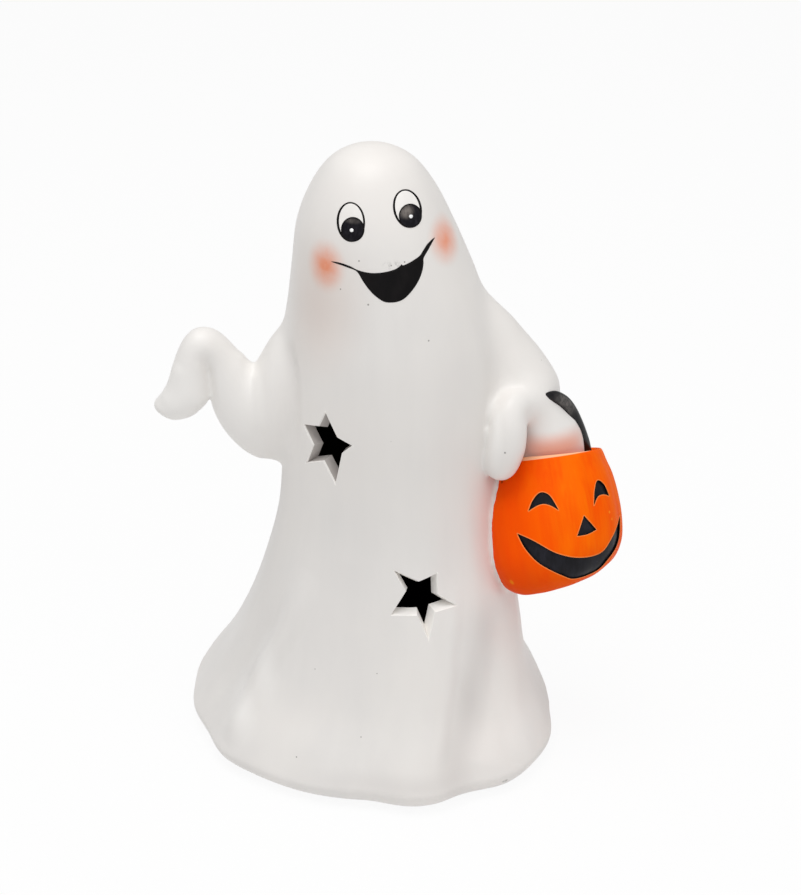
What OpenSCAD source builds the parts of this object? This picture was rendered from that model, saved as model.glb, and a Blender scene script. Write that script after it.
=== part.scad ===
// Ceramic ghost lantern holding a pumpkin bucket, with a battery light unit in its floor.
// Millimetres. +Z is up and the table is z = 0. The ghost looks towards -Y.
// The origin is on the table, under the middle of the whole figure.

/* [Ghost body] */
// Height of the figure from the table to the crown
figure_h = 250; // [220:1:280]
// Half width of the head at the mouth
head_r = 34; // [31:1:37]
// Half width of the body below the arms
waist_r = 44; // [41:1:47]
// Half width of the skirt at its hem
hem_r = 77; // [72:1:84]
// Thickness of the slip-cast wall
wall = 4.5; // [3.5:0.1:6]
// Thickness of the floor
floor_t = 5; // [4:0.5:7]
// Radius of the rolled edge under the hem
hem_round = 4; // [3:0.5:5]

/* [Star cut-outs] */
// Radius of a star at its points
star_r = 14; // [12:0.5:15]
// How much smaller a star is at the inner face of the wall than at the outer face
star_draft = 1.2; // [0.5:0.1:2]

/* [Arms] */
// Reach of the raised arm from the body's side to the top of its wrist
raised_reach = 30.8; // [28:0.2:34]
// Half thickness of the raised forearm
raised_r = 13; // [11:0.5:14]
// Half thickness of the arm that carries the bucket
carry_r = 10; // [9:0.5:11]

/* [Pumpkin bucket] */
// Half width of the pumpkin
bucket_r = 26.5; // [24:0.5:28]
// Height of the pumpkin from its base to its rim
bucket_h = 53; // [50:1:56]
// Depth of the grooves between the pumpkin's lobes
groove = 0.9; // [0.4:0.1:1.4]
// Depth of the recessed eyes, nose and mouth
face_recess = 0.8; // [0.5:0.1:1.2]
// Half width of the handle strap
strap_r = 2.7; // [2:0.1:3.2]

/* [Light unit] */
// Radius of the light unit's cup
unit_r = 31; // [30.5:0.5:34]
// Wall of the moulded pieces
unit_wall = 1.8; // [1.4:0.1:2.2]
// Height of the cup above the floor's underside
unit_h = 18; // [17.5:0.5:22]
// How far the flange stands out past the cup
flange_w = 6; // [4:0.5:8]
// Thickness of the base plate, flange and battery door
plate_t = 1.5; // [1.2:0.1:1.8]
// Thickness of the rubber grip ring
ring_t = 2; // [1.5:0.1:3]
// Height of the rubber grip ring
ring_h = 4; // [3:0.5:4.5]
// Radius of the frosted dome over the lamp
dome_r = 9; // [8:0.5:11]

/* [Batteries] */
// Diameter of a cell
cell_d = 10.5; // [10.2:0.1:10.8]
// Length of a cell without its button
cell_len = 43.5; // [43:0.1:44]
// Diameter of a cell's button
button_d = 3.8; // [3:0.1:4.2]
// Height of a cell's button
button_h = 1; // [0.8:0.1:1.2]
// Length of a contact spring when a cell is in
spring_len = 4.2; // [3.5:0.1:5]

/* [Switch] */
// Length of the switch case
switch_l = 8.6; // [8.2:0.1:9.4]
// Width of the switch case
switch_w = 4.4; // [4:0.1:5]
// Height of the switch case
switch_h = 4; // [3.8:0.1:4.6]
// How far the knob slides between off and on
switch_travel = 2; // [1.5:0.1:2.2]
// Length of the knob's finger along its slide
knob_l = 1.8; // [1.4:0.1:2]

/* [Feet] */
// Radius of a foot pad
pad_r = 6; // [5:0.5:7]
// Thickness of a foot pad
pad_t = 2.2; // [2:0.1:2.6]

/* [Hidden] */
$fn = 64;

// Shared helpers

// Cubic through a table's rows: row i plus a part t of the way to row i + 1.
function span(rows, i, t) =
    let (n = len(rows) - 1,
         p0 = rows[max(i - 1, 0)],
         p1 = rows[i],
         p2 = rows[min(i + 1, n)],
         p3 = rows[min(i + 2, n)])
    p1 + (p2 - p0) * t / 2 + (2 * p0 - 5 * p1 + 4 * p2 - p3) * t * t / 2
    + (3 * p1 - p0 - 3 * p2 + p3) * t * t * t / 2;

// A table's rows with steps - 1 more between each pair of neighbours.
function smooth_rows(rows, steps) = concat(
    [for (i = [0 : len(rows) - 2], j = [0 : steps - 1]) span(rows, i, j / steps)],
    [rows[len(rows) - 1]]);

// Faces of a closed skin over rings of sides points each, with a pole point at each end.
function skin_faces(ring_count, sides) =
    let (last = ring_count * sides + 1)
    concat(
        [for (j = [0 : sides - 1]) [0, 1 + (j + 1) % sides, 1 + j]],
        [for (i = [0 : ring_count - 2], j = [0 : sides - 1])
            let (a = 1 + i * sides + j, b = 1 + i * sides + (j + 1) % sides)
            each [[a, b, a + sides], [b, b + sides, a + sides]]],
        [for (j = [0 : sides - 1])
            let (first = 1 + (ring_count - 1) * sides)
            [first + j, first + (j + 1) % sides, last]]);

module skin(start, rings, end) {
    polyhedron(
        points = concat([start], [for (ring = rings) each ring], [end]),
        faces = skin_faces(len(rings), len(rings[0])),
        convexity = 6);
}

function unit(v) = v / norm(v);

// Middle of a ring of points.
function middle(ring) = [for (p = ring) 1] * ring / len(ring);

// A smooth hump that is 1 at its middle and 0 from half_w degrees away.
function hump(angle, middle, half_w) =
    let (turn = acos(cos(angle - middle)))
    turn >= half_w ? 0 : (1 + cos(180 * turn / half_w)) / 2;

// Ghost body

// From the crown down to the hem. Each row: height as a share of figure_h; shares of head_r,
// waist_r and hem_r that add up to the half width; shift along X as a share of hem_r; front
// depth and back depth as shares of the half width; strength of the drape folds.
body_shares = [
    [1.000, 0.00, 0.00, 0.00, -0.070, 1.00, 1.00, 0.00],
    [0.995, 0.24, 0.00, 0.00, -0.069, 1.00, 1.00, 0.00],
    [0.975, 0.49, 0.00, 0.00, -0.067, 0.98, 0.98, 0.00],
    [0.936, 0.70, 0.00, 0.00, -0.063, 0.97, 0.97, 0.00],
    [0.884, 0.87, 0.00, 0.00, -0.053, 0.97, 0.97, 0.00],
    [0.822, 1.00, 0.00, 0.00, -0.023, 0.97, 0.97, 0.00],
    [0.760, 0.60, 0.40, 0.00, 0.003, 0.97, 0.96, 0.00],
    [0.690, 0.20, 0.80, 0.00, 0.018, 0.96, 0.94, 0.00],
    [0.600, 0.00, 1.00, 0.00, 0.026, 0.95, 0.92, 0.05],
    [0.500, 0.00, 1.00, 0.00, 0.028, 0.95, 0.92, 0.10],
    [0.400, 0.00, 0.94, 0.06, 0.028, 0.95, 0.92, 0.20],
    [0.300, 0.00, 0.79, 0.21, 0.010, 0.96, 0.94, 0.40],
    [0.210, 0.00, 0.62, 0.38, -0.018, 0.96, 0.96, 0.65],
    [0.135, 0.00, 0.44, 0.56, -0.058, 0.96, 0.97, 0.85],
    [0.075, 0.00, 0.20, 0.80, -0.088, 0.96, 0.98, 0.95],
    [0.035, 0.00, 0.03, 0.97, -0.092, 0.96, 0.98, 1.00]];
body_steps = 2;
body_sides = 48;

// Drape folds of the skirt. Each row: direction in degrees, half width in degrees, and how far
// the hem stands out there as a share of hem_r.
fold_shares = [
    [283, 15, 0.060], [300, 10, -0.022], [313, 46, 0.120], [335, 14, 0.018],
    [255, 20, -0.015], [217, 16, 0.020], [198, 14, -0.020], [160, 20, 0.025],
    [130, 20, -0.030], [100, 22, 0.030], [70, 20, -0.025], [40, 24, 0.030], [10, 20, -0.020]];

function fold_share(angle) = [for (f = fold_shares) f[2] * hump(angle, f[0], f[1])]
    * [for (f = fold_shares) 1];

// Moves the figure along X so that its whole width, from hand to bucket, is centred.
centre_share = -0.026;
centre_x = centre_share * hem_r;

// Sizes of one station: half width, height, shift, front depth, back depth and fold size.
function station(row) =
    let (half_w = row[1] * head_r + row[2] * waist_r + row[3] * hem_r)
    [half_w, row[0] * figure_h, centre_x + row[4] * hem_r, row[5] * half_w, row[6] * half_w,
        row[7] * hem_r];
stations = [for (row = smooth_rows(body_shares, body_steps)) station(row)];

// Point of a station in one direction, moved inwards by inset.
function body_point(s, angle, inset) =
    let (x = max(s[0] - inset, 0),
         y = max((sin(angle) < 0 ? s[3] : s[4]) - inset, 0),
         out = s[5] * fold_share(angle))
    [s[2] + (x + out) * cos(angle), (y + out) * sin(angle), s[1]];
function body_ring(s, inset = 0) =
    [for (j = [0 : body_sides - 1]) body_point(s, 360 * j / body_sides, inset)];

// A station moved down and inwards, square to the side's slope, by the wall.
function inner_station(i) =
    let (above = stations[i - 1], here = stations[i],
         below = stations[min(i + 1, len(stations) - 1)],
         slope = unit([below[0] - above[0], below[1] - above[1]]))
    [here, -slope[1] * wall, slope[0] * wall];
function inner_ring(i) =
    let (s = inner_station(i), here = s[0])
    body_ring([here[0], here[1] - s[2], here[2], here[3], here[4], here[5]], s[1]);

under_z = pad_t;
floor_z = under_z + floor_t;
crown = stations[0];
hem = stations[len(stations) - 1];
hem_steps = 4;
pilot_r = unit_r / 2;

// The rolled edge turns from the hem's side to the floor's underside.
hem_rings = [for (k = [1 : hem_steps])
    let (turn = 90 * k / hem_steps, drop = hem[1] - under_z)
    body_ring([hem[0], hem[1] - drop * sin(turn), hem[2], hem[3], hem[4], hem[5]],
        hem_round * (1 - cos(turn)))];
pilot_rings = [for (z = [under_z, floor_z])
    [for (j = [0 : body_sides - 1])
        let (angle = 360 * j / body_sides)
        [hem[2] + pilot_r * cos(angle), pilot_r * sin(angle), z]]];

end_steps = 3;
inner_rings = [for (i = [len(stations) - end_steps : -2 : end_steps]) inner_ring(i)];
// Where the inner wall meets the floor
inner_foot = let (low = inner_rings[0]) [for (p = low) [p[0], p[1], floor_z]];

module body_skin() {
    skin([crown[2], 0, crown[1]],
        concat([for (i = [1 : len(stations) - 1]) body_ring(stations[i])],
            hem_rings, [pilot_rings[0], pilot_rings[1]], [inner_foot], inner_rings),
        [crown[2], 0, crown[1] - wall]);
}

// A solid slice of the body between two heights, for trimming what is luted onto it.
module body_slice(shares) {
    slice = [for (s = stations)
        if (s[1] >= shares[0] * figure_h && s[1] <= shares[1] * figure_h) s];
    low = slice[len(slice) - 1];
    skin([slice[0][2], 0, slice[0][1]], [for (s = slice) body_ring(s)], [low[2], 0, low[1]]);
}
raised_slice_shares = [0.38, 0.83];
carry_slice_shares = [0.34, 0.90];
bucket_slice_shares = [0.20, 0.62];

// Stars, cut by hand. Each row: direction round the body in degrees and height share of figure_h.
star_place_shares = [[232.7, 0.573], [284.5, 0.329]];
// Upward tilt of a star's axis in degrees
star_tilt = 8;
// Outline of each star: way down and way across, as shares of star_r.
star_shares = [
    [[-0.92, 0.06], [-0.29, 0.42], [-0.15, 0.82], [0.13, 0.54], [1.07, 0.33], [0.51, -0.02],
        [0.76, -0.64], [0.15, -0.36], [-0.34, -0.71], [-0.46, -0.16]],
    [[-0.82, -0.65], [-0.50, -0.04], [-0.66, 0.47], [-0.08, 0.45], [0.30, 0.93], [0.36, 0.33],
        [1.10, 0.11], [0.41, -0.13], [0.41, -0.80], [-0.25, -0.38]]];
star_overrun = 6;
bore_r = unit_r + ring_t;
cut_over = 1;

// A star cutter along its own axis, with its wide face on the outside of the wall.
module star_cutter(row, shares) {
    z = row[1] * figure_h;
    level = lookup(-z, [for (s = stations) [-s[1], s[0]]]);
    shift = lookup(-z, [for (s = stations) [-s[1], s[2]]]);
    deep = wall + star_overrun;
    inner_r = star_r - star_draft;
    translate([shift, 0, z])
        rotate([0, 0, row[0]])
        translate([level, 0, 0])
        rotate([0, 90 - star_tilt, 0])
        translate([0, 0, -deep])
        linear_extrude(height = deep + star_overrun, scale = (star_r + star_draft) / inner_r)
        polygon(shares * inner_r);
}

module ghost_body() {
    color("whitesmoke")
    difference() {
        body_skin();
        translate([hem[2], 0, under_z - cut_over])
            cylinder(r = bore_r, h = floor_t + 2 * cut_over);
        for (k = [0, 1]) star_cutter(star_place_shares[k], star_shares[k]);
    }
}

// Limbs: a tube of elliptical rings along a curve

function directions(points) = [for (i = [0 : len(points) - 1])
    unit(points[min(i + 1, len(points) - 1)] - points[max(i - 1, 0)])];

// Each ring's first axis, carried along the curve without twist.
function carried(ways, start) =
    [for (i = 0, axis = unit(cross(ways[0], start)); i < len(ways);
        i = i + 1, axis = i < len(ways) ? unit(axis - (axis * ways[i]) * ways[i]) : axis) axis];

// Rows are x, y, z, half thickness along the first axis and half thickness along the second.
module limb(rows, sides, start = [0, 1, 0]) {
    points = [for (r = rows) [r[0], r[1], r[2]]];
    ways = directions(points);
    across = carried(ways, start);
    last = len(rows) - 1;
    skin(points[0],
        [for (i = [0 : last])
            let (other = cross(across[i], ways[i]))
            [for (j = [0 : sides - 1])
                points[i] + across[i] * rows[i][3] * cos(360 * j / sides)
                + other * rows[i][4] * sin(360 * j / sides)]],
        points[last]);
}
limb_sides = 20;

// Raised arm

// Each row: outwards and upwards to the ring's upper edge and to its lower edge, and forwards,
// all as shares of raised_reach from the root; then half depth as a share of raised_r.
raised_shares = [
    [-0.44, 0.82, -0.44, -0.66, 0.06, 1.00],
    [-0.24, 0.96, -0.24, -0.77, 0.06, 1.20],
    [-0.03, 1.04, -0.03, -0.79, 0.06, 1.18],
    [0.08, 0.87, 0.08, -0.77, 0.06, 1.08],
    [0.18, 0.68, 0.16, -0.76, 0.06, 1.00],
    [0.26, 0.54, 0.26, -0.74, 0.06, 0.94],
    [0.31, 0.58, 0.42, -0.64, 0.07, 0.88],
    [0.36, 0.64, 0.58, -0.47, 0.08, 0.82],
    [0.40, 0.71, 0.71, -0.26, 0.10, 0.76],
    [0.46, 0.77, 0.81, 0.02, 0.12, 0.70],
    [0.53, 0.86, 0.82, 0.29, 0.13, 0.65],
    [0.61, 0.96, 0.82, 0.51, 0.15, 0.60],
    [0.72, 1.06, 0.83, 0.66, 0.18, 0.57],
    [0.84, 1.11, 0.82, 0.70, 0.21, 0.55],
    [0.98, 1.10, 0.81, 0.70, 0.23, 0.54],
    [1.10, 1.00, 0.82, 0.67, 0.25, 0.54],
    [1.19, 0.84, 0.82, 0.55, 0.27, 0.55],
    [1.27, 0.63, 0.82, 0.36, 0.29, 0.58],
    [1.33, 0.43, 0.83, 0.18, 0.31, 0.60],
    [1.41, 0.29, 0.93, 0.06, 0.32, 0.58],
    [1.47, 0.22, 1.05, -0.03, 0.33, 0.50],
    [1.52, 0.15, 1.25, -0.08, 0.33, 0.38],
    [1.52, 0.09, 1.42, -0.01, 0.33, 0.16]];
root_shares = [0.985, 0.23, 0.584];
raised_root = [centre_x - waist_r * root_shares[0], -raised_r * root_shares[1],
    figure_h * root_shares[2]];
raised_rings = [for (row = smooth_rows(raised_shares, 2))
    let (upper = [-row[0], -row[4], row[1]] * raised_reach,
         lower = [-row[2], -row[4], row[3]] * raised_reach)
    [for (j = [0 : limb_sides - 1])
        raised_root + (upper + lower) / 2 + (upper - lower) / 2 * cos(360 * j / limb_sides)
            + [0, -row[5] * raised_r * sin(360 * j / limb_sides), 0]]];

module raised_arm() {
    color("whitesmoke")
    difference() {
        skin(middle(raised_rings[0]), raised_rings,
            middle(raised_rings[len(raised_rings) - 1]));
        body_slice(raised_slice_shares);
    }
}

// Pumpkin bucket: where it hangs and how it leans

bucket_yaw = 14;
bucket_lean = 24;
bucket_roll = 8;
bucket_shift_shares = [0.90, 0.56, 0.400];
bucket_c = [centre_x + waist_r + bucket_shift_shares[0] * bucket_r,
    -bucket_shift_shares[1] * bucket_r, bucket_shift_shares[2] * figure_h];
// Direction of the bucket's own axis, from its base to its rim
bucket_up = [-sin(bucket_roll), cos(bucket_roll) * sin(bucket_lean),
    cos(bucket_roll) * cos(bucket_lean)];
rim_c = bucket_c + bucket_up * bucket_h / 2;

module at_bucket() {
    translate(bucket_c)
        rotate([-bucket_lean, 0, 0])
        rotate([0, -bucket_roll, 0])
        rotate([0, 0, bucket_yaw])
        children();
}

// From the base to the middle of the lid. Each row: height share of bucket_h from its middle,
// radius share of bucket_r, share of the groove, sideways share of bucket_r, and rise to the
// right as a share of the radius.
bucket_shares = [
    [-0.500, 0.32, 0.0, -0.12, 0.16], [-0.500, 0.56, 0.6, -0.12, 0.16],
    [-0.470, 0.71, 0.9, -0.09, 0.14], [-0.380, 0.87, 1.0, -0.05, 0.11],
    [-0.230, 0.97, 1.0, -0.035, 0.07], [-0.050, 0.995, 1.0, -0.02, 0.03],
    [0.130, 0.985, 1.0, 0.00, 0.00], [0.290, 0.925, 0.9, 0.03, 0.00],
    [0.410, 0.86, 0.7, 0.03, 0.00], [0.475, 0.82, 0.4, 0.03, 0.00],
    [0.500, 0.78, 0.2, 0.03, 0.00], [0.485, 0.74, 0.0, 0.03, 0.00],
    [0.465, 0.71, 0.0, 0.03, 0.00], [0.465, 0.35, 0.0, 0.03, 0.00]];
bucket_lobes = 10;
bucket_sides = 40;
lid_share = 0.465;

function bucket_ring(row, inset) = [for (j = [bucket_sides - 1 : -1 : 0])
    let (angle = 360 * j / bucket_sides,
         r = row[1] * bucket_r - inset
            - row[2] * groove * (1 - abs(sin(bucket_lobes * angle / 2))))
    [row[3] * bucket_r + r * cos(angle), r * sin(angle),
        row[0] * bucket_h + row[4] * r * cos(angle)]];

module bucket_form(inset = 0) {
    rows = smooth_rows(bucket_shares, 2);
    last = rows[len(rows) - 1];
    at_bucket()
        skin([rows[0][3] * bucket_r, 0, rows[0][0] * bucket_h],
            [for (row = rows) bucket_ring(row, inset)],
            [last[3] * bucket_r, 0, last[0] * bucket_h]);
}

// Outlines of the eyes, nose and mouth seen from the front. Each point: way to the right as a
// share of bucket_r, height as a share of bucket_h from the middle.
face_shares = [
    [[-0.64, 0.14], [-0.57, 0.19], [-0.50, 0.23], [-0.43, 0.24], [-0.34, 0.21], [-0.27, 0.12],
        [-0.36, 0.14], [-0.45, 0.17], [-0.54, 0.16]],
    [[0.30, 0.11], [0.35, 0.20], [0.44, 0.27], [0.55, 0.23], [0.61, 0.14], [0.51, 0.16],
        [0.42, 0.16], [0.36, 0.14]],
    [[0.10, 0.04], [-0.05, -0.10], [0.12, -0.10], [0.28, -0.08]],
    [[-0.83, -0.03], [-0.66, -0.09], [-0.38, -0.20], [-0.06, -0.26], [0.31, -0.26],
        [0.54, -0.17], [0.82, -0.03], [0.72, -0.21], [0.46, -0.33], [0.26, -0.40],
        [-0.09, -0.42], [-0.29, -0.38], [-0.60, -0.27], [-0.76, -0.15]]];

// The shell of the pumpkin's skin that the features take away.
module face_cutter() {
    difference() {
        at_bucket()
            rotate([90, 0, 0])
            linear_extrude(height = 2 * bucket_r)
            for (outline = face_shares)
                polygon([for (p = outline) [p[0] * bucket_r, p[1] * bucket_h]]);
        bucket_form(face_recess);
    }
}

// Bucket arm: a sleeve from the shoulder, a forearm with the hand over the rim, and a palm
// that closes the bucket's mouth

shoulder_shares = [0.64, 0.745];
shoulder = [centre_x + shoulder_shares[0] * waist_r, 0, shoulder_shares[1] * figure_h];
// Each row: way from the shoulder to the rim along X, forwards as a share of bucket_r, way down
// from the shoulder to the rim, then half thickness as a share of carry_r. The palm's rows end
// with its half thickness along X and the one forwards, as shares of bucket_r.
sleeve_shares = [
    [-0.05, 0.00, -0.06, 0.30], [0.00, 0.00, 0.00, 1.05], [0.21, 0.00, 0.16, 1.30],
    [0.38, 0.00, 0.31, 1.42], [0.53, 0.03, 0.44, 1.54], [0.62, 0.10, 0.54, 1.66],
    [0.67, 0.19, 0.61, 1.70], [0.685, 0.23, 0.64, 1.50], [0.69, 0.245, 0.65, 0.95]];
palm_shares = [
    [0.70, 0.16, 0.44, 0.15, 0.19], [0.80, 0.27, 0.54, 0.25, 0.30],
    [0.87, 0.33, 0.63, 0.33, 0.38], [0.91, 0.35, 0.71, 0.415, 0.42],
    [0.95, 0.34, 0.79, 0.48, 0.45], [0.98, 0.32, 0.88, 0.535, 0.475],
    [0.99, 0.30, 1.02, 0.565, 0.49]];
hand_shares = [
    [1.00, 0.36, 0.66, 0.35], [0.94, 0.42, 0.630, 0.62], [0.78, 0.56, 0.573, 0.68],
    [0.63, 0.70, 0.545, 0.68], [0.545, 0.82, 0.555, 0.68], [0.52, 0.90, 0.60, 0.70],
    [0.52, 0.95, 0.67, 0.74], [0.52, 0.97, 0.755, 0.75], [0.505, 0.97, 0.845, 0.70],
    [0.485, 0.96, 0.92, 0.58], [0.465, 0.95, 0.97, 0.40], [0.455, 0.94, 1.00, 0.15]];

function carry_rows(shares, thick) = [for (r = smooth_rows(shares, 2))
    [shoulder[0] + r[0] * (rim_c[0] - shoulder[0]), -r[1] * bucket_r,
        shoulder[2] + r[2] * (rim_c[2] - shoulder[2]), r[3] * thick, r[len(r) - 1] * thick]];

hand_sides = 16;

module sleeve_form() {
    limb(carry_rows(sleeve_shares, carry_r), limb_sides);
}

module palm_form() {
    limb(carry_rows(palm_shares, bucket_r), limb_sides);
}

module hand_form() {
    limb(carry_rows(hand_shares, carry_r), hand_sides);
}

module bucket_arm() {
    color("whitesmoke")
    difference() {
        union() {
            sleeve_form();
            difference() {
                palm_form();
                bucket_form();
            }
            hand_form();
        }
        body_slice(carry_slice_shares);
    }
}

module pumpkin_bucket() {
    color("darkorange")
    difference() {
        bucket_form();
        face_cutter();
        hand_form();
        body_slice(bucket_slice_shares);
    }
}

// Handle: a strap that lies on the palm's right edge and comes down to the rim

// Each row, in the bucket's own frame: sideways, forwards and up from the rim as shares of
// bucket_r, then half width and half depth as shares of strap_r.
strap_shares = [
    [-0.197, 0.853, 0.914, 0.30, 0.30], [-0.128, 0.823, 0.887, 0.60, 0.50],
    [-0.033, 0.755, 0.852, 0.85, 0.62], [0.085, 0.657, 0.792, 0.95, 0.72],
    [0.203, 0.551, 0.701, 0.90, 0.80], [0.315, 0.445, 0.566, 0.75, 0.85],
    [0.409, 0.340, 0.409, 0.68, 0.90], [0.492, 0.242, 0.245, 0.66, 0.90],
    [0.559, 0.151, 0.098, 0.65, 0.90], [0.609, 0.068, -0.048, 0.64, 0.90],
    [0.628, 0.030, -0.174, 0.62, 0.90]];
strap_sides = 12;

module bucket_handle() {
    color("black")
    difference() {
        at_bucket()
            translate([0, 0, bucket_h / 2])
            difference() {
                limb([for (r = smooth_rows(strap_shares, 2))
                    [r[0] * bucket_r, -r[1] * bucket_r, r[2] * bucket_r, r[3] * strap_r,
                        r[4] * strap_r]], strap_sides);
                // Cut level with the lid
                translate([0, 0, (lid_share - 1 / 2) * bucket_h - bucket_r])
                    block([4 * bucket_r, 2 * bucket_r, bucket_r]);
            }
        sleeve_form();
        palm_form();
        hand_form();
        body_slice(bucket_slice_shares);
    }
}

// Light unit, set into the floor from below

unit_x = hem[2];
plate_z = under_z - plate_t;
cup_top = under_z + unit_h;
run_gap = 0.3;
snug_gap = 0.1;
bay_wall = 1.2;
contact_t = 0.5;
bay_l = cell_len + button_h + spring_len + 2 * contact_t;
bay_w = 2 * cell_d + 3 * run_gap;
cell_y = (cell_d + run_gap) / 2;
cell_z = under_z + run_gap + cell_d / 2;
bay_top = cell_z + cell_d / 2 + run_gap;
roof_z = bay_top + bay_wall;

screw_r = 1;
screw_head_r = 2.2;
screw_head_h = 1.6;
screw_len = 8;
boss_r = 3.2;
spigot_t = 1.5;
spigot_h = 2;
boss_y = unit_r - unit_wall - spigot_t - boss_r - run_gap;
boss_top = cup_top - spigot_h;

board_l = 30;
board_w = 20;
board_t = 1.6;
board_top = roof_z + board_t;
peg_r = 1;
peg_x = board_l / 2 - 3 * peg_r;

switch_y = -(bay_w / 2 + bay_wall + switch_w);
rib_t = 1.2;
knob_w = 1.6;
foot_l = 2 * knob_l;
foot_w_share = 1.6;
foot_w = foot_w_share * knob_w;
foot_h = 1.4;
finger_out = 0.45;

solder_w = 3;
solder_h = 2.5;

tab_w = 5;
tab_t = 1.1;
tab_reach = 1.6;
tab_seat = 1.9;
tab_share = 0.28;
tab_x = bay_l * tab_share;
latch_w = 12;
latch_l = 3.4;
dish_r = 3.6;
dish_share = 0.8;

// A box centred in X and Y that stands on z = 0.
module block(size) {
    translate([-size[0] / 2, -size[1] / 2, 0]) cube(size);
}

module at_bosses() {
    for (side = [-1, 1]) translate([0, side * boss_y, 0]) children();
}

module at_tabs() {
    for (side = [-1, 1]) translate([side * tab_x, -bay_w / 2, under_z]) children();
}

// Cup with a flange, a battery bay that opens downwards, two screw bosses and a switch seat.
module light_housing() {
    color("white")
    translate([unit_x, 0, 0])
    difference() {
        union() {
            translate([0, 0, plate_z]) cylinder(r = unit_r + flange_w, h = plate_t);
            difference() {
                translate([0, 0, under_z]) cylinder(r = unit_r, h = unit_h);
                translate([0, 0, under_z])
                    cylinder(r = unit_r - unit_wall, h = unit_h + cut_over);
            }
            translate([0, 0, under_z])
                block([bay_l + 2 * bay_wall, bay_w + 2 * bay_wall, roof_z - under_z]);
            at_bosses() translate([0, 0, under_z]) cylinder(r = boss_r, h = boss_top - under_z);
            for (side = [-1, 1])
                translate([side * (switch_l + rib_t) / 2, switch_y, under_z])
                    block([rib_t, switch_w, switch_h / 2]);
            for (side = [-1, 1])
                translate([side * peg_x, 0, roof_z]) cylinder(r = peg_r, h = board_t);
        }
        // Battery bay
        translate([0, 0, plate_z - cut_over])
            block([bay_l, bay_w, bay_top - plate_z + cut_over]);
        // Recess for the door's latch
        translate([0, bay_w / 2, plate_z - cut_over])
            block([latch_w + 2 * run_gap, 2 * (latch_l + run_gap), plate_t + cut_over]);
        // Notches for the door's tabs
        at_tabs() block([tab_w + 2 * run_gap, 2 * (tab_reach + bay_wall), tab_t + 3 * run_gap]);
        // Slot for the switch knob
        translate([0, switch_y, plate_z - cut_over])
            block([knob_l + switch_travel + 2 * run_gap, knob_w + 2 * run_gap,
                plate_t + 2 * cut_over]);
        // Holes for the cover screws
        at_bosses() translate([0, 0, boss_top - screw_len])
            cylinder(r = screw_r + snug_gap, h = screw_len + cut_over);
        // Slots for the solder tabs of the contact plates
        for (side = [-1, 1])
            translate([(bay_l - contact_t) / 2, side * cell_y, bay_top - cut_over])
                block([contact_t, solder_w + 2 * snug_gap, bay_wall + 2 * cut_over]);
    }
}

module light_cover() {
    color("white")
    translate([unit_x, 0, 0])
    difference() {
        union() {
            translate([0, 0, cup_top]) cylinder(r = unit_r, h = unit_wall);
            difference() {
                translate([0, 0, cup_top - spigot_h])
                    cylinder(r = unit_r - unit_wall - snug_gap, h = spigot_h);
                translate([0, 0, cup_top - spigot_h - cut_over])
                    cylinder(r = unit_r - unit_wall - spigot_t, h = spigot_h + cut_over);
            }
            at_bosses() translate([0, 0, boss_top]) cylinder(r = boss_r, h = spigot_h);
        }
        translate([0, 0, cup_top - cut_over])
            cylinder(r = dome_r - unit_wall, h = unit_wall + 2 * cut_over);
        at_bosses() translate([0, 0, boss_top - cut_over])
            cylinder(r = screw_r + run_gap, h = spigot_h + unit_wall + 2 * cut_over);
    }
}

cover_top = cup_top + unit_wall;
dome_side = 4;
dome_foot = 2;
dome_t = 0.9;

module light_dome() {
    color("ivory")
    translate([unit_x, 0, cover_top])
    rotate_extrude()
    intersection() {
        square([dome_r + dome_foot, dome_side + dome_r]);
        difference() {
            union() {
                square([dome_r + dome_foot, dome_t]);
                square([dome_r, dome_side]);
                translate([0, dome_side]) circle(r = dome_r);
            }
            translate([0, -cut_over]) square([dome_r - dome_t, dome_side + cut_over]);
            translate([0, dome_side]) circle(r = dome_r - dome_t);
        }
    }
}

lamp_r = 2.5;
lamp_rim = 0.4;
lamp_rim_h = 1;
lamp_h = 6;
lead_w = 0.5;
lead_pitch = 2.54;
lamp_stand = 5;

module led_lamp() {
    color("lightyellow")
    translate([unit_x, 0, board_top]) {
        translate([0, 0, lamp_stand]) cylinder(r = lamp_r + lamp_rim, h = lamp_rim_h);
        translate([0, 0, lamp_stand]) cylinder(r = lamp_r, h = lamp_h);
        translate([0, 0, lamp_stand + lamp_h]) sphere(r = lamp_r);
        for (side = [-1, 1])
            translate([side * lead_pitch / 2, 0, 0]) block([lead_w, lead_w, lamp_stand]);
    }
}

module circuit_board() {
    color("seagreen")
    translate([unit_x, 0, roof_z])
    difference() {
        block([board_l, board_w, board_t]);
        for (side = [-1, 1])
            translate([side * peg_x, 0, -cut_over])
                cylinder(r = peg_r + snug_gap, h = board_t + 2 * cut_over);
    }
}

resistor_r = 1.2;
resistor_l = 6.4;
resistor_wire = 0.3;
resistor_span = resistor_l + 4 * resistor_r;

module resistor() {
    color("tan")
    translate([unit_x, board_w / 3, board_top + resistor_r]) {
        translate([-resistor_l / 2, 0, 0]) rotate([0, 90, 0])
            cylinder(r = resistor_r, h = resistor_l);
        translate([-resistor_span / 2, 0, 0]) rotate([0, 90, 0])
            cylinder(r = resistor_wire, h = resistor_span);
        for (side = [-1, 1])
            translate([side * (resistor_span / 2 - resistor_wire), 0, -resistor_r])
                cylinder(r = resistor_wire, h = resistor_r);
    }
}

module switch_case() {
    color("dimgray")
    translate([unit_x, switch_y, under_z])
    difference() {
        block([switch_l, switch_w, switch_h]);
        translate([0, 0, -cut_over])
            block([foot_l + switch_travel + 2 * run_gap, foot_w + 2 * run_gap,
                foot_h + run_gap + cut_over]);
    }
}

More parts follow.
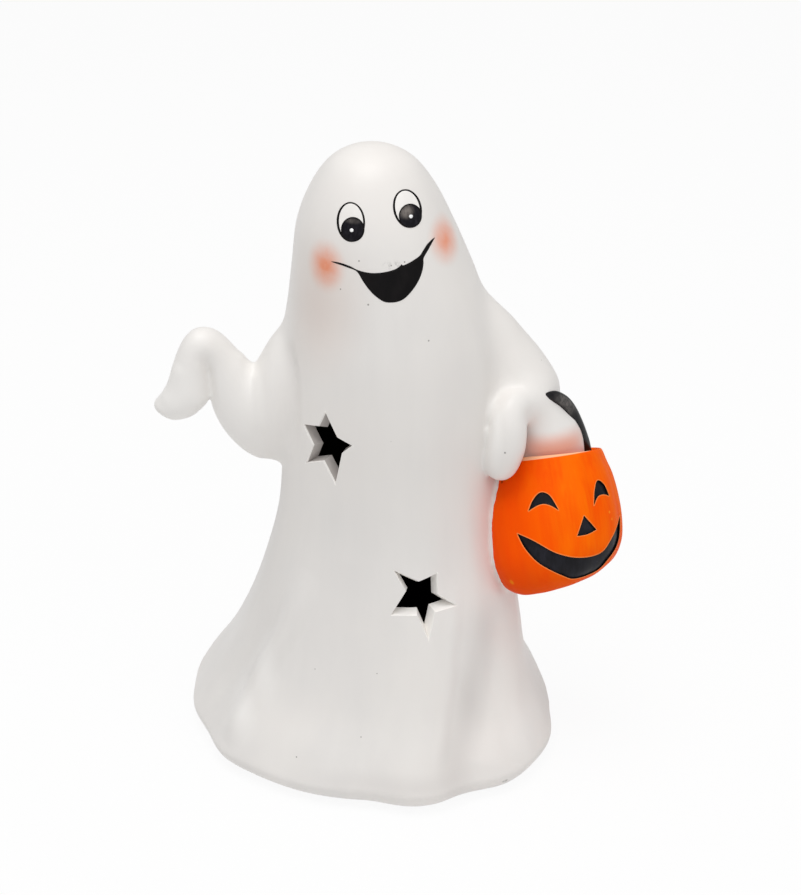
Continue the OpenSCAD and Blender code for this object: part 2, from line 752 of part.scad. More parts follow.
// At rest the knob is at the off end, towards -X.
module switch_knob() {
    color("black")
    translate([unit_x - switch_travel / 2, switch_y, under_z]) {
        block([foot_l, foot_w, foot_h]);
        translate([0, 0, -plate_t - finger_out])
            block([knob_l, knob_w, plate_t + finger_out]);
    }
}

// Two tabs hook over the base plate at -Y, and a latch lies in its recess at +Y.
module battery_door() {
    color("white")
    translate([unit_x, 0, 0])
    difference() {
        union() {
            translate([0, 0, plate_z])
                block([bay_l - 2 * run_gap, bay_w - 2 * run_gap, plate_t]);
            translate([0, (bay_w / 2 + latch_l) / 2, plate_z])
                block([latch_w, bay_w / 2 + latch_l, plate_t]);
            at_tabs() {
                translate([0, run_gap + tab_seat / 2, 0]) block([tab_w, tab_seat, tab_t]);
                translate([0, (run_gap + tab_seat - tab_reach) / 2, run_gap])
                    block([tab_w, run_gap + tab_seat + tab_reach, tab_t - run_gap]);
            }
        }
        // Dish for a fingernail at the latch
        translate([0, bay_w / 2 + latch_l, plate_z - dish_share * dish_r]) sphere(r = dish_r);
    }
}

// Places something at each cell, with the cells lying opposite ways.
module at_cells() {
    for (turn = [0, 180])
        translate([unit_x, cell_y * cos(turn), cell_z]) rotate([0, 0, turn]) children();
}

module batteries() {
    color("silver")
    at_cells() translate([contact_t + spring_len - bay_l / 2, 0, 0]) rotate([0, 90, 0]) {
        cylinder(d = cell_d, h = cell_len);
        cylinder(d = button_d, h = cell_len + button_h);
    }
}

spring_wire = 0.4;
spring_turns = 3;
spring_steps = 12;
spring_wide = 3.8;
spring_narrow = 2.4;

// Cone springs with a flat end turn on the contact plate and on the cell.
module contact_springs() {
    color("silver")
    at_cells()
    translate([contact_t - bay_l / 2, 0, 0])
    limb([for (k = [-2 : spring_turns * spring_steps + 2])
        let (way = max(0, min(1, k / (spring_turns * spring_steps))),
             turn = 360 * k / spring_steps,
             r = spring_wide + (spring_narrow - spring_wide) * way)
        [spring_wire + (spring_len - 2 * spring_wire) * way, r * cos(turn), r * sin(turn),
            spring_wire, spring_wire]], 6, [1, 0, 0]);
}

plate_low = under_z + 2 * run_gap;

module contact_plates() {
    color("goldenrod")
    translate([unit_x, 0, plate_low]) {
        translate([(contact_t - bay_l) / 2, 0, 0])
            block([contact_t, bay_w - 2 * run_gap, bay_top - plate_low]);
        for (side = [-1, 1]) translate([(bay_l - contact_t) / 2, side * cell_y, 0]) {
            block([contact_t, cell_d - 2 * run_gap, bay_top - plate_low]);
            block([contact_t, solder_w, roof_z + solder_h - plate_low]);
        }
    }
}

// Wires. Each way point: shares of bay_l / 2, of the way to the switch, and of unit_h.
wire_r = 0.6;
lug_share = 0.3;
lug_x = switch_l * lug_share;
plus_shares = [[0.84, -0.33, 0.83], [0.63, -0.33, 0.90], [0.51, -0.33, 0.90]];
minus_shares = [[0.87, 0.42, 0.84], [0.70, 0.72, 0.86], [0.45, 0.92, 0.60], [0.20, 0.99, 0.36]];
board_shares = [[-0.14, 0.99, 0.36], [-0.24, 0.90, 0.60], [-0.36, 0.72, 0.84],
    [-0.46, 0.45, 0.90]];

// A wire that leaves each end square to the face it is soldered to.
module wire(from, from_way, shares, to, to_way) {
    points = concat([from + from_way * wire_r],
        [for (s = shares) [s[0] * bay_l / 2, s[1] * switch_y, under_z + s[2] * unit_h]],
        [to + to_way * wire_r]);
    rows = concat([from], smooth_rows(points, 3), [to]);
    limb([for (p = rows) [p[0], p[1], p[2], wire_r, wire_r]], 8, [0, 1, 0.1]);
}

module lead_wires() {
    tab = [bay_l / 2 - contact_t, cell_y, roof_z + solder_h / 2];
    lug = [lug_x, switch_y, under_z + switch_h];
    pad = [peg_x, cell_y, board_top];
    color("firebrick")
    translate([unit_x, 0, 0]) {
        wire(tab, [-1, 0, 0], plus_shares, pad, [0, 0, 1]);
        wire([tab[0], -tab[1], tab[2]], [-1, 0, 0], minus_shares, lug, [0, 0, 1]);
        wire([-lug[0], lug[1], lug[2]], [0, 0, 1], board_shares, [-pad[0], -pad[1], pad[2]],
            [0, 0, 1]);
    }
}

module grip_ring() {
    color("dimgray")
    translate([unit_x, 0, under_z + (floor_t - ring_h) / 2])
    difference() {
        cylinder(r = bore_r, h = ring_h);
        translate([0, 0, -cut_over]) cylinder(r = unit_r, h = ring_h + 2 * cut_over);
    }
}

module cover_screws() {
    color("silver")
    translate([unit_x, 0, 0]) at_bosses() {
        translate([0, 0, cover_top]) cylinder(r = screw_head_r, h = screw_head_h);
        translate([0, 0, boss_top - screw_len])
            cylinder(r = screw_r, h = cover_top - boss_top + screw_len);
    }
}

// Four pads under the floor, half way between the light unit and the hem.
pad_ring = (unit_r + flange_w + hem_r) / 2;

module foot_pads() {
    color("gray")
    for (turn = [45, 135, 225, 315])
        translate([unit_x, 0, 0]) rotate([0, 0, turn]) translate([pad_ring, 0, 0])
            cylinder(r = pad_r, h = pad_t);
}

ghost_body();
raised_arm();
bucket_arm();
pumpkin_bucket();
bucket_handle();
light_housing();
light_cover();
light_dome();
led_lamp();
circuit_board();
resistor();
switch_case();
switch_knob();
battery_door();
batteries();
contact_springs();
contact_plates();
lead_wires();
grip_ring();
cover_screws();
foot_pads();
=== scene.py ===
"""Looks of the ceramic ghost lantern, built around its CAD frame. Lengths are in millimetres
until a mesh is made, and the frame is the CAD's: +Z up, the ghost looks towards -Y."""
import math

import bpy
import numpy as np
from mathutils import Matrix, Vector
from mathutils.bvhtree import BVHTree
from mathutils.geometry import delaunay_2d_cdt


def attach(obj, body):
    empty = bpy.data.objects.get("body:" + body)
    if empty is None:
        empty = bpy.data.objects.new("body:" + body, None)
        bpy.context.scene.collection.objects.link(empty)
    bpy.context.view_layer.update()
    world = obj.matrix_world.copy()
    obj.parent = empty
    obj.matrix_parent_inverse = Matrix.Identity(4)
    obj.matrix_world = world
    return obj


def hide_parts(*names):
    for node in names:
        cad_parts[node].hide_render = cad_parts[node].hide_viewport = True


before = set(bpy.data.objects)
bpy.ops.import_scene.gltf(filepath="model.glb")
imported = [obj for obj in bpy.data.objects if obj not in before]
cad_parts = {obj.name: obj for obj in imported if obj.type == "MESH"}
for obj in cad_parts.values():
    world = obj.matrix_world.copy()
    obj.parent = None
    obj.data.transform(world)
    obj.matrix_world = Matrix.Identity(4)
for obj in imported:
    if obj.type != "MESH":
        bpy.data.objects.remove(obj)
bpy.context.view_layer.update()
MM = 0.001

# Sizes shared with the CAD
FIGURE_H, HEAD_R, WAIST_R, HEM_R, WALL, FLOOR_T = 250.0, 34.0, 44.0, 77.0, 4.5, 5.0
STAR_R, BORE_R, RAISED_REACH, RAISED_R, CARRY_R = 14.0, 33.0, 30.8, 13.0, 10.0
BUCKET_R, BUCKET_H, GROOVE, FACE_RECESS, STRAP_R = 26.5, 53.0, 0.9, 0.8, 2.7
CENTRE_X = -0.026 * HEM_R
UNDER_Z = 2.2
FLOOR_Z = UNDER_Z + FLOOR_T

# Sizes of the finished surface
HEM_ROUND = 5.0
BUCKET_EDGE = 91.75
SHARP = math.radians(38)
TOUCHING = 0.00004

# The photograph's camera
IMAGE_W, IMAGE_H, FOCAL_PX = 801, 895, 1847.0
CAM_ELEVATION, CAM_DISTANCE = math.radians(27), 740.0
CAM_TARGET = np.array([5.5 + CENTRE_X, 0.0, 124.2])
CAM_RIGHT = np.array([1.0, 0.0, 0.0])
CAM_DIR = np.array([0.0, math.cos(CAM_ELEVATION), -math.sin(CAM_ELEVATION)])
CAM_UP = np.array([0.0, math.sin(CAM_ELEVATION), math.cos(CAM_ELEVATION)])
CAM_AT = CAM_TARGET - CAM_DISTANCE * CAM_DIR


# Shape helpers

def smooth_rows(rows, steps):
    """The table's rows with steps - 1 more on a smooth curve between each pair."""
    rows = np.asarray(rows, float)
    n = len(rows) - 1
    out = []
    for i in range(n):
        p0, p1, p2, p3 = rows[max(i - 1, 0)], rows[i], rows[i + 1], rows[min(i + 2, n)]
        for j in range(steps):
            t = j / steps
            out.append(p1 + (p2 - p0) * t / 2 + (2 * p0 - 5 * p1 + 4 * p2 - p3) * t * t / 2
                       + (3 * p1 - p0 - 3 * p2 + p3) * t ** 3 / 2)
    out.append(rows[n])
    return np.array(out)


def linked(name, data):
    obj = bpy.data.objects.new(name, data)
    bpy.context.scene.collection.objects.link(obj)
    return obj


def make(name, points, faces, smooth=True):
    """An object from points in millimetres."""
    mesh = bpy.data.meshes.new(name)
    mesh.from_pydata((np.asarray(points, float) * MM).tolist(), [], faces)
    mesh.validate()
    mesh.update()
    if smooth:
        mesh.shade_smooth()
    return linked(name, mesh)


def skin(name, rings, start=None, end=None):
    """A closed skin over rings of points, with a pole at each end."""
    rings = np.asarray(rings, float)
    count, sides = rings.shape[:2]
    start = rings[0].mean(0) if start is None else start
    end = rings[-1].mean(0) if end is None else end
    points = np.vstack([[start], rings.reshape(-1, 3), [end]])
    last = count * sides + 1
    faces = [(0, 1 + (j + 1) % sides, 1 + j) for j in range(sides)]
    for i in range(count - 1):
        for j in range(sides):
            a, b = 1 + i * sides + j, 1 + i * sides + (j + 1) % sides
            faces.append((a, b, b + sides, a + sides))
    first = 1 + (count - 1) * sides
    faces += [(first + j, first + (j + 1) % sides, last) for j in range(sides)]
    return outward(make(name, points, faces))


def outward(obj):
    """Turns the faces of a closed form outwards."""
    mesh = obj.data
    mesh.calc_loop_triangles()
    tri = np.empty(len(mesh.loop_triangles) * 3, int)
    mesh.loop_triangles.foreach_get("vertices", tri)
    a, b, c = coordinates(obj)[tri.reshape(-1, 3)].transpose(1, 0, 2)
    if np.einsum("ij,ij->i", a, np.cross(b, c)).sum() < 0:
        mesh.flip_normals()
    return obj


def vectors(items, key):
    """One vector of each vertex or face as rows."""
    out = np.empty(len(items) * 3)
    items.foreach_get(key, out)
    return out.reshape(-1, 3)


def coordinates(obj):
    return vectors(obj.data.vertices, "co")


def set_coordinates(obj, co):
    obj.data.vertices.foreach_set("co", np.asarray(co, float).ravel())
    obj.data.update()


def face_centres(obj):
    return vectors(obj.data.polygons, "center")


def remove(*objs):
    for o in objs:
        bpy.data.objects.remove(o)


def apply_modifiers(obj):
    graph = bpy.context.evaluated_depsgraph_get()
    mesh = bpy.data.meshes.new_from_object(obj.evaluated_get(graph))
    old = obj.data
    obj.modifiers.clear()
    obj.data = mesh
    bpy.data.meshes.remove(old)


def join(objs, name):
    """One mesh object that holds copies of several, which are then removed."""
    points, faces, base = [], [], 0
    for o in objs:
        co = coordinates(o)
        points.append(co)
        faces += [tuple(base + v for v in p.vertices) for p in o.data.polygons]
        base += len(co)
    remove(*objs)
    return make(name, np.vstack(points) / MM, faces)


def boolean(obj, cutters, operation="DIFFERENCE", keep=False):
    for cutter in cutters:
        mod = obj.modifiers.new("cut", "BOOLEAN")
        mod.operation = operation
        mod.solver = "MANIFOLD"
        mod.object = cutter
    bpy.context.view_layer.update()
    apply_modifiers(obj)
    if not keep:
        remove(*cutters)
    return obj


def tree_of(obj):
    return BVHTree.FromPolygons([tuple(v) for v in coordinates(obj)],
                                [tuple(p.vertices) for p in obj.data.polygons])


def distances(tree, points, reach):
    """Distance of each point (metres) to a surface, at most reach."""
    found = (tree.find_nearest(Vector(p), reach)[3] for p in points)
    return np.array([reach if far is None else far for far in found])


def relax(obj, weights, rounds):
    """Moves each vertex towards the mean of its neighbours by its own weight."""
    mesh = obj.data
    edges = np.empty(len(mesh.edges) * 2, int)
    mesh.edges.foreach_get("vertices", edges)
    a, b = edges.reshape(-1, 2).T
    co = coordinates(obj)
    count = np.bincount(np.concatenate([a, b]), minlength=len(co))[:, None]
    for _ in range(rounds):
        total = np.column_stack([np.bincount(a, co[b, k], len(co))
                                 + np.bincount(b, co[a, k], len(co)) for k in range(3)])
        co += weights[:, None] * (total / np.maximum(count, 1) - co)
    set_coordinates(obj, co)


def ease(t):
    t = np.clip(t, 0, 1)
    return t * t * (3 - 2 * t)


def around(count):
    """Angles of equal steps round a circle."""
    return np.arange(count) * 2 * math.pi / count


# Ghost body

# Rows: height, half width as shares of HEAD_R, WAIST_R and HEM_R, shift of the middle, half depth
# in front and behind as shares of the half width, and how far the folds stand out.
BODY_SHARES = [
    [1.0, 0.0, 0.0, 0.0, -0.07, 1.0, 1.0, 0.0],
    [0.995, 0.24, 0.0, 0.0, -0.069, 1.0, 1.0, 0.0],
    [0.975, 0.49, 0.0, 0.0, -0.067, 0.98, 0.98, 0.0],
    [0.936, 0.7, 0.0, 0.0, -0.063, 0.97, 0.97, 0.0],
    [0.884, 0.87, 0.0, 0.0, -0.053, 0.97, 0.97, 0.0],
    [0.822, 1.0, 0.0, 0.0, -0.023, 0.97, 0.97, 0.0],
    [0.76, 0.6, 0.4, 0.0, 0.003, 0.97, 0.96, 0.0],
    [0.69, 0.2, 0.8, 0.0, 0.018, 0.96, 0.94, 0.0],
    [0.6, 0.0, 1.0, 0.0, 0.026, 0.95, 0.92, 0.05],
    [0.5, 0.0, 1.0, 0.0, 0.028, 0.95, 0.92, 0.1],
    [0.4, 0.0, 0.94, 0.06, 0.028, 0.95, 0.92, 0.2],
    [0.3, 0.0, 0.79, 0.21, 0.01, 0.96, 0.94, 0.4],
    [0.21, 0.0, 0.62, 0.38, -0.018, 0.96, 0.96, 0.65],
    [0.135, 0.0, 0.44, 0.56, -0.058, 0.96, 0.97, 0.85],
    [0.075, 0.0, 0.2, 0.8, -0.088, 0.96, 0.98, 0.95],
    [0.035, 0.0, 0.03, 0.97, -0.092, 0.96, 0.98, 1.0]]
# Rows: direction and half width in degrees, and height
FOLDS = [
    [283, 15, 0.045], [301, 12, -0.03], [313, 46, 0.12], [335, 14, 0.018],
    [255, 20, -0.008], [236, 20, -0.014], [217, 14, 0.004], [203, 16, -0.024], [160, 20, 0.025],
    [130, 20, -0.03], [100, 22, 0.03], [70, 20, -0.025], [40, 24, 0.03], [10, 20, -0.02]]


def fold_share(angle):
    total = np.zeros_like(angle)
    for middle, half_w, size in FOLDS:
        turn = np.abs((angle - middle + 540) % 360 - 180)
        total += size * np.where(turn >= half_w, 0, (1 + np.cos(np.pi * turn / half_w)) / 2)
    return total


rows = smooth_rows(BODY_SHARES, 8)
half_w = rows[:, 1] * HEAD_R + rows[:, 2] * WAIST_R + rows[:, 3] * HEM_R
STATIONS = np.column_stack([half_w, rows[:, 0] * FIGURE_H, CENTRE_X + rows[:, 4] * HEM_R,
                            rows[:, 5] * half_w, rows[:, 6] * half_w, rows[:, 7] * HEM_R])
BODY_SIDES, HEM_STEPS = 240, 8
ANGLES = np.arange(BODY_SIDES) * 360 / BODY_SIDES


def body_ring(s, inset=0.0):
    c, d = np.cos(np.radians(ANGLES)), np.sin(np.radians(ANGLES))
    x = max(s[0] - inset, 0)
    y = np.maximum(np.where(d < 0, s[3], s[4]) - inset, 0)
    out = s[5] * fold_share(ANGLES)
    return np.column_stack([s[2] + (x + out) * c, (y + out) * d, np.full(len(ANGLES), s[1])])


crown, hem = STATIONS[0], STATIONS[-1]
outer = [body_ring(s) for s in STATIONS[1:]]
for k in range(1, HEM_STEPS + 1):
    turn = math.radians(90 * k / HEM_STEPS)
    lowered = hem.copy()
    lowered[1] = hem[1] - (hem[1] - UNDER_Z) * math.sin(turn)
    outer.append(body_ring(lowered, HEM_ROUND * (1 - math.cos(turn))))
outer_skin = skin("outer", outer, [crown[2], 0, crown[1]], [hem[2], 0, UNDER_Z])

# The hollow leaves out the stations nearest to the crown and the hem
TOP_LEFT_OUT, LOW_LEFT_OUT = 6, 12
inner = []
for i in range(TOP_LEFT_OUT, len(STATIONS) - LOW_LEFT_OUT):
    step = STATIONS[i + 1, :2] - STATIONS[i - 1, :2]
    step /= np.linalg.norm(step)
    s = STATIONS[i].copy()
    inset = -step[1] * WALL
    s[1] -= step[0] * WALL
    inner.append(body_ring(s, inset))
foot = inner[-1].copy()
foot[:, 2] = FLOOR_Z
cavity = skin("cavity", inner + [foot], [crown[2], 0, crown[1] - WALL],
              [inner[-1][:, 0].mean(), 0, FLOOR_Z])


# Arms

def limb_rings(rows, sides):
    """Elliptical rings square to a curve. Rows: x, y, z and two half thicknesses."""
    rows = np.asarray(rows, float)
    points = rows[:, :3]
    ways = np.gradient(points, axis=0)
    ways /= np.linalg.norm(ways, axis=1)[:, None]
    axis = np.cross(ways[0], (0, 1, 0))
    axis /= np.linalg.norm(axis)
    turn = around(sides)
    rings = []
    for p, w, r in zip(points, ways, rows):
        axis = axis - axis.dot(w) * w
        axis /= np.linalg.norm(axis)
        other = np.cross(axis, w)
        rings.append(p + np.outer(np.cos(turn) * r[3], axis)
                     + np.outer(np.sin(turn) * r[4], other))
    return rings


# Rows: reach and height of the upper edge and of the lower one, then how far forwards, all as
# shares of RAISED_REACH, and the half thickness as a share of RAISED_R.
RAISED_SHARES = [
    [-0.44, 0.82, -0.44, -0.66, 0.06, 1.0], [-0.24, 0.96, -0.24, -0.77, 0.06, 1.2],
    [-0.03, 1.04, -0.03, -0.79, 0.06, 1.18], [0.08, 0.87, 0.08, -0.77, 0.06, 1.08],
    [0.18, 0.68, 0.16, -0.76, 0.06, 1.0], [0.26, 0.54, 0.26, -0.74, 0.06, 0.94],
    [0.31, 0.58, 0.42, -0.64, 0.07, 0.88], [0.36, 0.64, 0.58, -0.47, 0.08, 0.82],
    [0.4, 0.71, 0.71, -0.26, 0.1, 0.76], [0.46, 0.77, 0.81, 0.02, 0.12, 0.7],
    [0.53, 0.86, 0.82, 0.29, 0.13, 0.65], [0.61, 0.96, 0.82, 0.51, 0.15, 0.6],
    [0.72, 1.06, 0.83, 0.66, 0.18, 0.57], [0.84, 1.11, 0.82, 0.7, 0.21, 0.55],
    [0.98, 1.1, 0.81, 0.7, 0.23, 0.54], [1.1, 1.0, 0.82, 0.67, 0.25, 0.54],
    [1.19, 0.84, 0.82, 0.55, 0.27, 0.55], [1.27, 0.63, 0.82, 0.36, 0.29, 0.58],
    [1.33, 0.43, 0.83, 0.18, 0.31, 0.6], [1.41, 0.29, 0.93, 0.06, 0.32, 0.58],
    [1.47, 0.22, 1.05, -0.03, 0.33, 0.5], [1.52, 0.15, 1.25, -0.08, 0.33, 0.38],
    [1.52, 0.09, 1.42, -0.01, 0.33, 0.16]]
ROOT_SHARES = [0.985, 0.23, 0.584]
raised_root = np.array([CENTRE_X - WAIST_R * ROOT_SHARES[0], -RAISED_R * ROOT_SHARES[1],
                        FIGURE_H * ROOT_SHARES[2]])
LIMB_SIDES = 56
limb_turn = around(LIMB_SIDES)
raised = []
for row in smooth_rows(RAISED_SHARES, 6):
    upper = np.array([-row[0], -row[4], row[1]]) * RAISED_REACH
    lower = np.array([-row[2], -row[4], row[3]]) * RAISED_REACH
    raised.append(raised_root + (upper + lower) / 2
                  + np.outer(np.cos(limb_turn), (upper - lower) / 2)
                  - np.outer(np.sin(limb_turn), [0, row[5] * RAISED_R, 0]))
raised_arm = skin("raised", raised)

# Pumpkin bucket: where it hangs and how it leans
BUCKET_YAW, BUCKET_LEAN, BUCKET_ROLL = math.radians(14), math.radians(24), math.radians(8)
BUCKET_SHIFT = [0.9, 0.56, 0.4]
bucket_c = np.array([CENTRE_X + WAIST_R + BUCKET_SHIFT[0] * BUCKET_R,
                     -BUCKET_SHIFT[1] * BUCKET_R, BUCKET_SHIFT[2] * FIGURE_H])


def turned(axis, angle):
    """Rotation about one of the three axes."""
    i, j = (axis + 1) % 3, (axis + 2) % 3
    out = np.eye(3)
    out[i, i] = out[j, j] = math.cos(angle)
    out[i, j], out[j, i] = -math.sin(angle), math.sin(angle)
    return out


X, Y, Z = range(3)
BUCKET_TURN = turned(X, -BUCKET_LEAN) @ turned(Y, -BUCKET_ROLL) @ turned(Z, BUCKET_YAW)
rim_c = bucket_c + BUCKET_TURN[:, 2] * BUCKET_H / 2


def at_bucket(points):
    return np.asarray(points) @ BUCKET_TURN.T + bucket_c


def from_bucket(points):
    return (np.asarray(points) - bucket_c) @ BUCKET_TURN


SHOULDER = np.array([CENTRE_X + 0.64 * WAIST_R, 0, 0.745 * FIGURE_H])
# Rows: across from the shoulder to the rim, forwards as a share of BUCKET_R, down from the
# shoulder to the rim, and one or two half thicknesses.
SLEEVE_SHARES = [
    [-0.05, 0.0, -0.06, 0.3], [0.0, 0.0, 0.0, 1.05], [0.21, 0.0, 0.16, 1.3],
    [0.38, 0.0, 0.31, 1.42], [0.53, 0.03, 0.44, 1.54], [0.62, 0.1, 0.54, 1.66],
    [0.67, 0.19, 0.61, 1.7], [0.685, 0.23, 0.64, 1.5], [0.69, 0.245, 0.65, 0.95]]
PALM_SHARES = [
    [0.7, 0.16, 0.44, 0.15, 0.19], [0.8, 0.27, 0.54, 0.25, 0.3],
    [0.87, 0.33, 0.63, 0.33, 0.38], [0.91, 0.35, 0.71, 0.415, 0.42],
    [0.95, 0.34, 0.79, 0.48, 0.45], [0.98, 0.32, 0.88, 0.535, 0.475],
    [0.99, 0.3, 1.02, 0.565, 0.49]]
HAND_SHARES = [
    [1.0, 0.36, 0.66, 0.35], [0.94, 0.42, 0.63, 0.62], [0.78, 0.56, 0.573, 0.68],
    [0.63, 0.7, 0.545, 0.68], [0.545, 0.82, 0.555, 0.68], [0.52, 0.9, 0.6, 0.7],
    [0.52, 0.95, 0.67, 0.74], [0.508, 0.97, 0.76, 0.75], [0.48, 0.955, 0.845, 0.72],
    [0.448, 0.93, 0.915, 0.66], [0.424, 0.89, 0.96, 0.52], [0.412, 0.85, 0.992, 0.22]]


def carry_limb(name, shares, thick=CARRY_R):
    r = smooth_rows(shares, 6)
    rows = np.column_stack([SHOULDER[0] + r[:, 0] * (rim_c[0] - SHOULDER[0]), -r[:, 1] * BUCKET_R,
                            SHOULDER[2] + r[:, 2] * (rim_c[2] - SHOULDER[2]),
                            r[:, 3] * thick, r[:, -1] * thick])
    return skin(name, limb_rings(rows, LIMB_SIDES))


sleeve, hand = carry_limb("sleeve", SLEEVE_SHARES), carry_limb("hand", HAND_SHARES)
palm = carry_limb("palm", PALM_SHARES, BUCKET_R)

# Pumpkin. Rows: height, radius, depth of the grooves, shift sideways and slope.
BUCKET_SHARES = [
    [-0.48, 0.32, 0.0, -0.12, 0.16], [-0.48, 0.54, 0.6, -0.12, 0.16],
    [-0.45, 0.69, 0.8, -0.09, 0.14], [-0.37, 0.86, 0.84, -0.055, 0.11],
    [-0.23, 0.97, 0.95, -0.035, 0.07], [-0.05, 0.995, 1.0, -0.02, 0.03],
    [0.13, 0.975, 1.0, -0.01, -0.01], [0.29, 0.91, 0.9, 0.015, -0.03],
    [0.41, 0.845, 0.7, 0.015, -0.05], [0.475, 0.81, 0.4, 0.015, -0.05],
    [0.5, 0.775, 0.2, 0.02, -0.05], [0.485, 0.74, 0.0, 0.03, -0.05],
    [0.465, 0.71, 0.0, 0.03, -0.05], [0.465, 0.35, 0.0, 0.03, -0.05]]
BUCKET_SIDES, LOBES = 300, 10
LOBE_SOFT, GROOVE_SHARE, FULLER_BY, FULLER_AT = 0.02, 0.6, 0.13, 0.35
bucket_turn = around(BUCKET_SIDES)


def bucket_form(name, inset=0.0, shift=(0, 0, 0)):
    rings = []
    for row in smooth_rows(BUCKET_SHARES, 10):
        # A soft lobe profile with a rounded groove, a little fuller on the body's side
        lobe = 1 - np.sqrt(np.sin(LOBES * bucket_turn / 2) ** 2 + LOBE_SOFT)
        inwards = np.maximum(-np.cos(bucket_turn + FULLER_AT), 0)
        fuller = 1 + FULLER_BY * inwards ** 2 * row[2] ** 3
        r = row[1] * BUCKET_R * fuller - inset - row[2] * GROOVE * GROOVE_SHARE * lobe
        rings.append(np.column_stack([
            row[3] * BUCKET_R + r * np.cos(bucket_turn), r * np.sin(bucket_turn),
            row[0] * BUCKET_H + row[4] * r * np.cos(bucket_turn)]))
    places = [at_bucket(ring) + shift for ring in rings]
    # The lobes stay within the span of the whole figure
    return skin(name, [np.column_stack([np.minimum(p[:, 0], BUCKET_EDGE), p[:, 1:]])
                       for p in places])


# Outlines of the eyes, the nose and the mouth as shares of BUCKET_R and BUCKET_H, and the points
# at which each has a corner
FACE_SHARES = [
    [[-0.66, 0.125], [-0.59, 0.19], [-0.51, 0.235], [-0.43, 0.25], [-0.335, 0.215],
     [-0.255, 0.105], [-0.35, 0.145], [-0.45, 0.165], [-0.55, 0.155]],
    [[0.295, 0.095], [0.35, 0.2], [0.44, 0.27], [0.55, 0.23], [0.61, 0.14], [0.51, 0.16],
     [0.42, 0.16], [0.36, 0.14]],
    [[0.1, 0.04], [-0.05, -0.1], [0.12, -0.1], [0.28, -0.08]],
    [[-0.83, -0.03], [-0.66, -0.09], [-0.38, -0.2], [-0.06, -0.26], [0.31, -0.26],
     [0.54, -0.17], [0.82, -0.03], [0.72, -0.21], [0.46, -0.33], [0.26, -0.4],
     [-0.09, -0.42], [-0.29, -0.38], [-0.6, -0.27], [-0.76, -0.15]]]
FACE_CORNERS = [[0, 5], [0, 4], [0, 1, 3], [0, 6]]


def smooth_outline(points, corners):
    """A closed outline that is smooth between its corners."""
    runs = []
    for a, b in zip(corners, corners[1:] + [len(points)]):
        run = [points[k % len(points)] for k in range(a, b + 1)]
        runs.append(smooth_rows(run, 6)[:-1])
    return np.vstack(runs)


pumpkin = bucket_form("pumpkin_bucket_glazed")
deeper = bucket_form("deeper", FACE_RECESS)
outlines = [smooth_outline(o, c) * [BUCKET_R, BUCKET_H]
            for o, c in zip(FACE_SHARES, FACE_CORNERS)]
prisms = []
for o in outlines:
    n = len(o)
    front = at_bucket(np.column_stack([o[:, 0], np.full(n, -2 * BUCKET_R), o[:, 1]]))
    back = at_bucket(np.column_stack([o[:, 0], np.zeros(n), o[:, 1]]))
    faces = [tuple(range(n)), tuple(range(2 * n - 1, n - 1, -1))]
    faces += [(j, n + j, n + (j + 1) % n, (j + 1) % n) for j in range(n)]
    prism = outward(make("prism", np.vstack([front, back]), faces))
    prisms.append(boolean(prism, [deeper], keep=True))
remove(deeper)

trees = [tree_of(o) for o in (outer_skin, raised_arm, sleeve, hand, palm)]
boolean(pumpkin, prisms + [hand, outer_skin], keep=True)
remove(*prisms)

# The casting has no undercut: a wall runs straight back from the pumpkin's side to the body
BEHIND_X, BEHIND_Y, BEHIND_Z, BESIDE = 50.0, 9.0, (40, 125), -0.5
BEHIND_STEPS = (1.5, 3.5, 5.5, 7.5, 9.5)
swollen = skin("swollen", [body_ring(s, -BEHIND_Y) for s in STATIONS[1:]])
box = [(x, y, z) for x in (0, BEHIND_X) for y in (-80, 80) for z in BEHIND_Z]
side = outward(make("side", box, [(0, 1, 3, 2), (4, 6, 7, 5), (0, 4, 5, 1), (2, 3, 7, 6),
                                  (0, 2, 6, 4), (1, 5, 7, 3)]))
walls = [boolean(bucket_form("wall", 0.0, (BESIDE, back, 0)), [swollen, side], "INTERSECT", True)
         for back in BEHIND_STEPS]
remove(swollen, side)

# One seamless casting: the body with both arms
ghost = join([outer_skin, raised_arm, sleeve, palm, hand] + walls, "ghost_casting")
remesh = ghost.modifiers.new("remesh", "REMESH")
remesh.mode = "VOXEL"
remesh.voxel_size = 0.9 * MM
bpy.context.view_layer.update()
apply_modifiers(ghost)
ghost.data.shade_smooth()
relax(ghost, np.full(len(ghost.data.vertices), 0.5), 4)

# Soft webs where the arms flow into the body, less so in the sharp corner under the raised arm
WEB_REACH, ARM_LOW, ARM_HIGH, ARM_OUT = 0.009, 0.1, 0.21, 0.02
CORNER_Z, CORNER_RISE, CORNER_LESS = 0.118, 0.012, 0.75
PALM_X, PALM_EASE, ARM_GAIN, PALM_GAIN = 48.0, 3.0, 1.6, 1.8
co = coordinates(ghost)
near_arm = ((np.abs(co[:, 0] - CENTRE_X * MM) > ARM_OUT)
            & (co[:, 2] > ARM_LOW) & (co[:, 2] < ARM_HIGH))
ids = np.nonzero(near_arm)[0]
to_body, to_raised, to_sleeve, to_hand, to_palm = [distances(t, co[ids], WEB_REACH)
                                                   for t in trees]
under = 1 - CORNER_LESS * (co[ids, 0] < 0) * (1 - ease((co[ids, 2] - CORNER_Z) / CORNER_RISE))
weights = np.zeros(len(co))
for to_arm in (to_raised, to_sleeve):
    closeness = 1 - np.maximum(to_body, to_arm) / WEB_REACH
    weights[ids] = np.maximum(weights[ids], under * ease(closeness * ARM_GAIN))
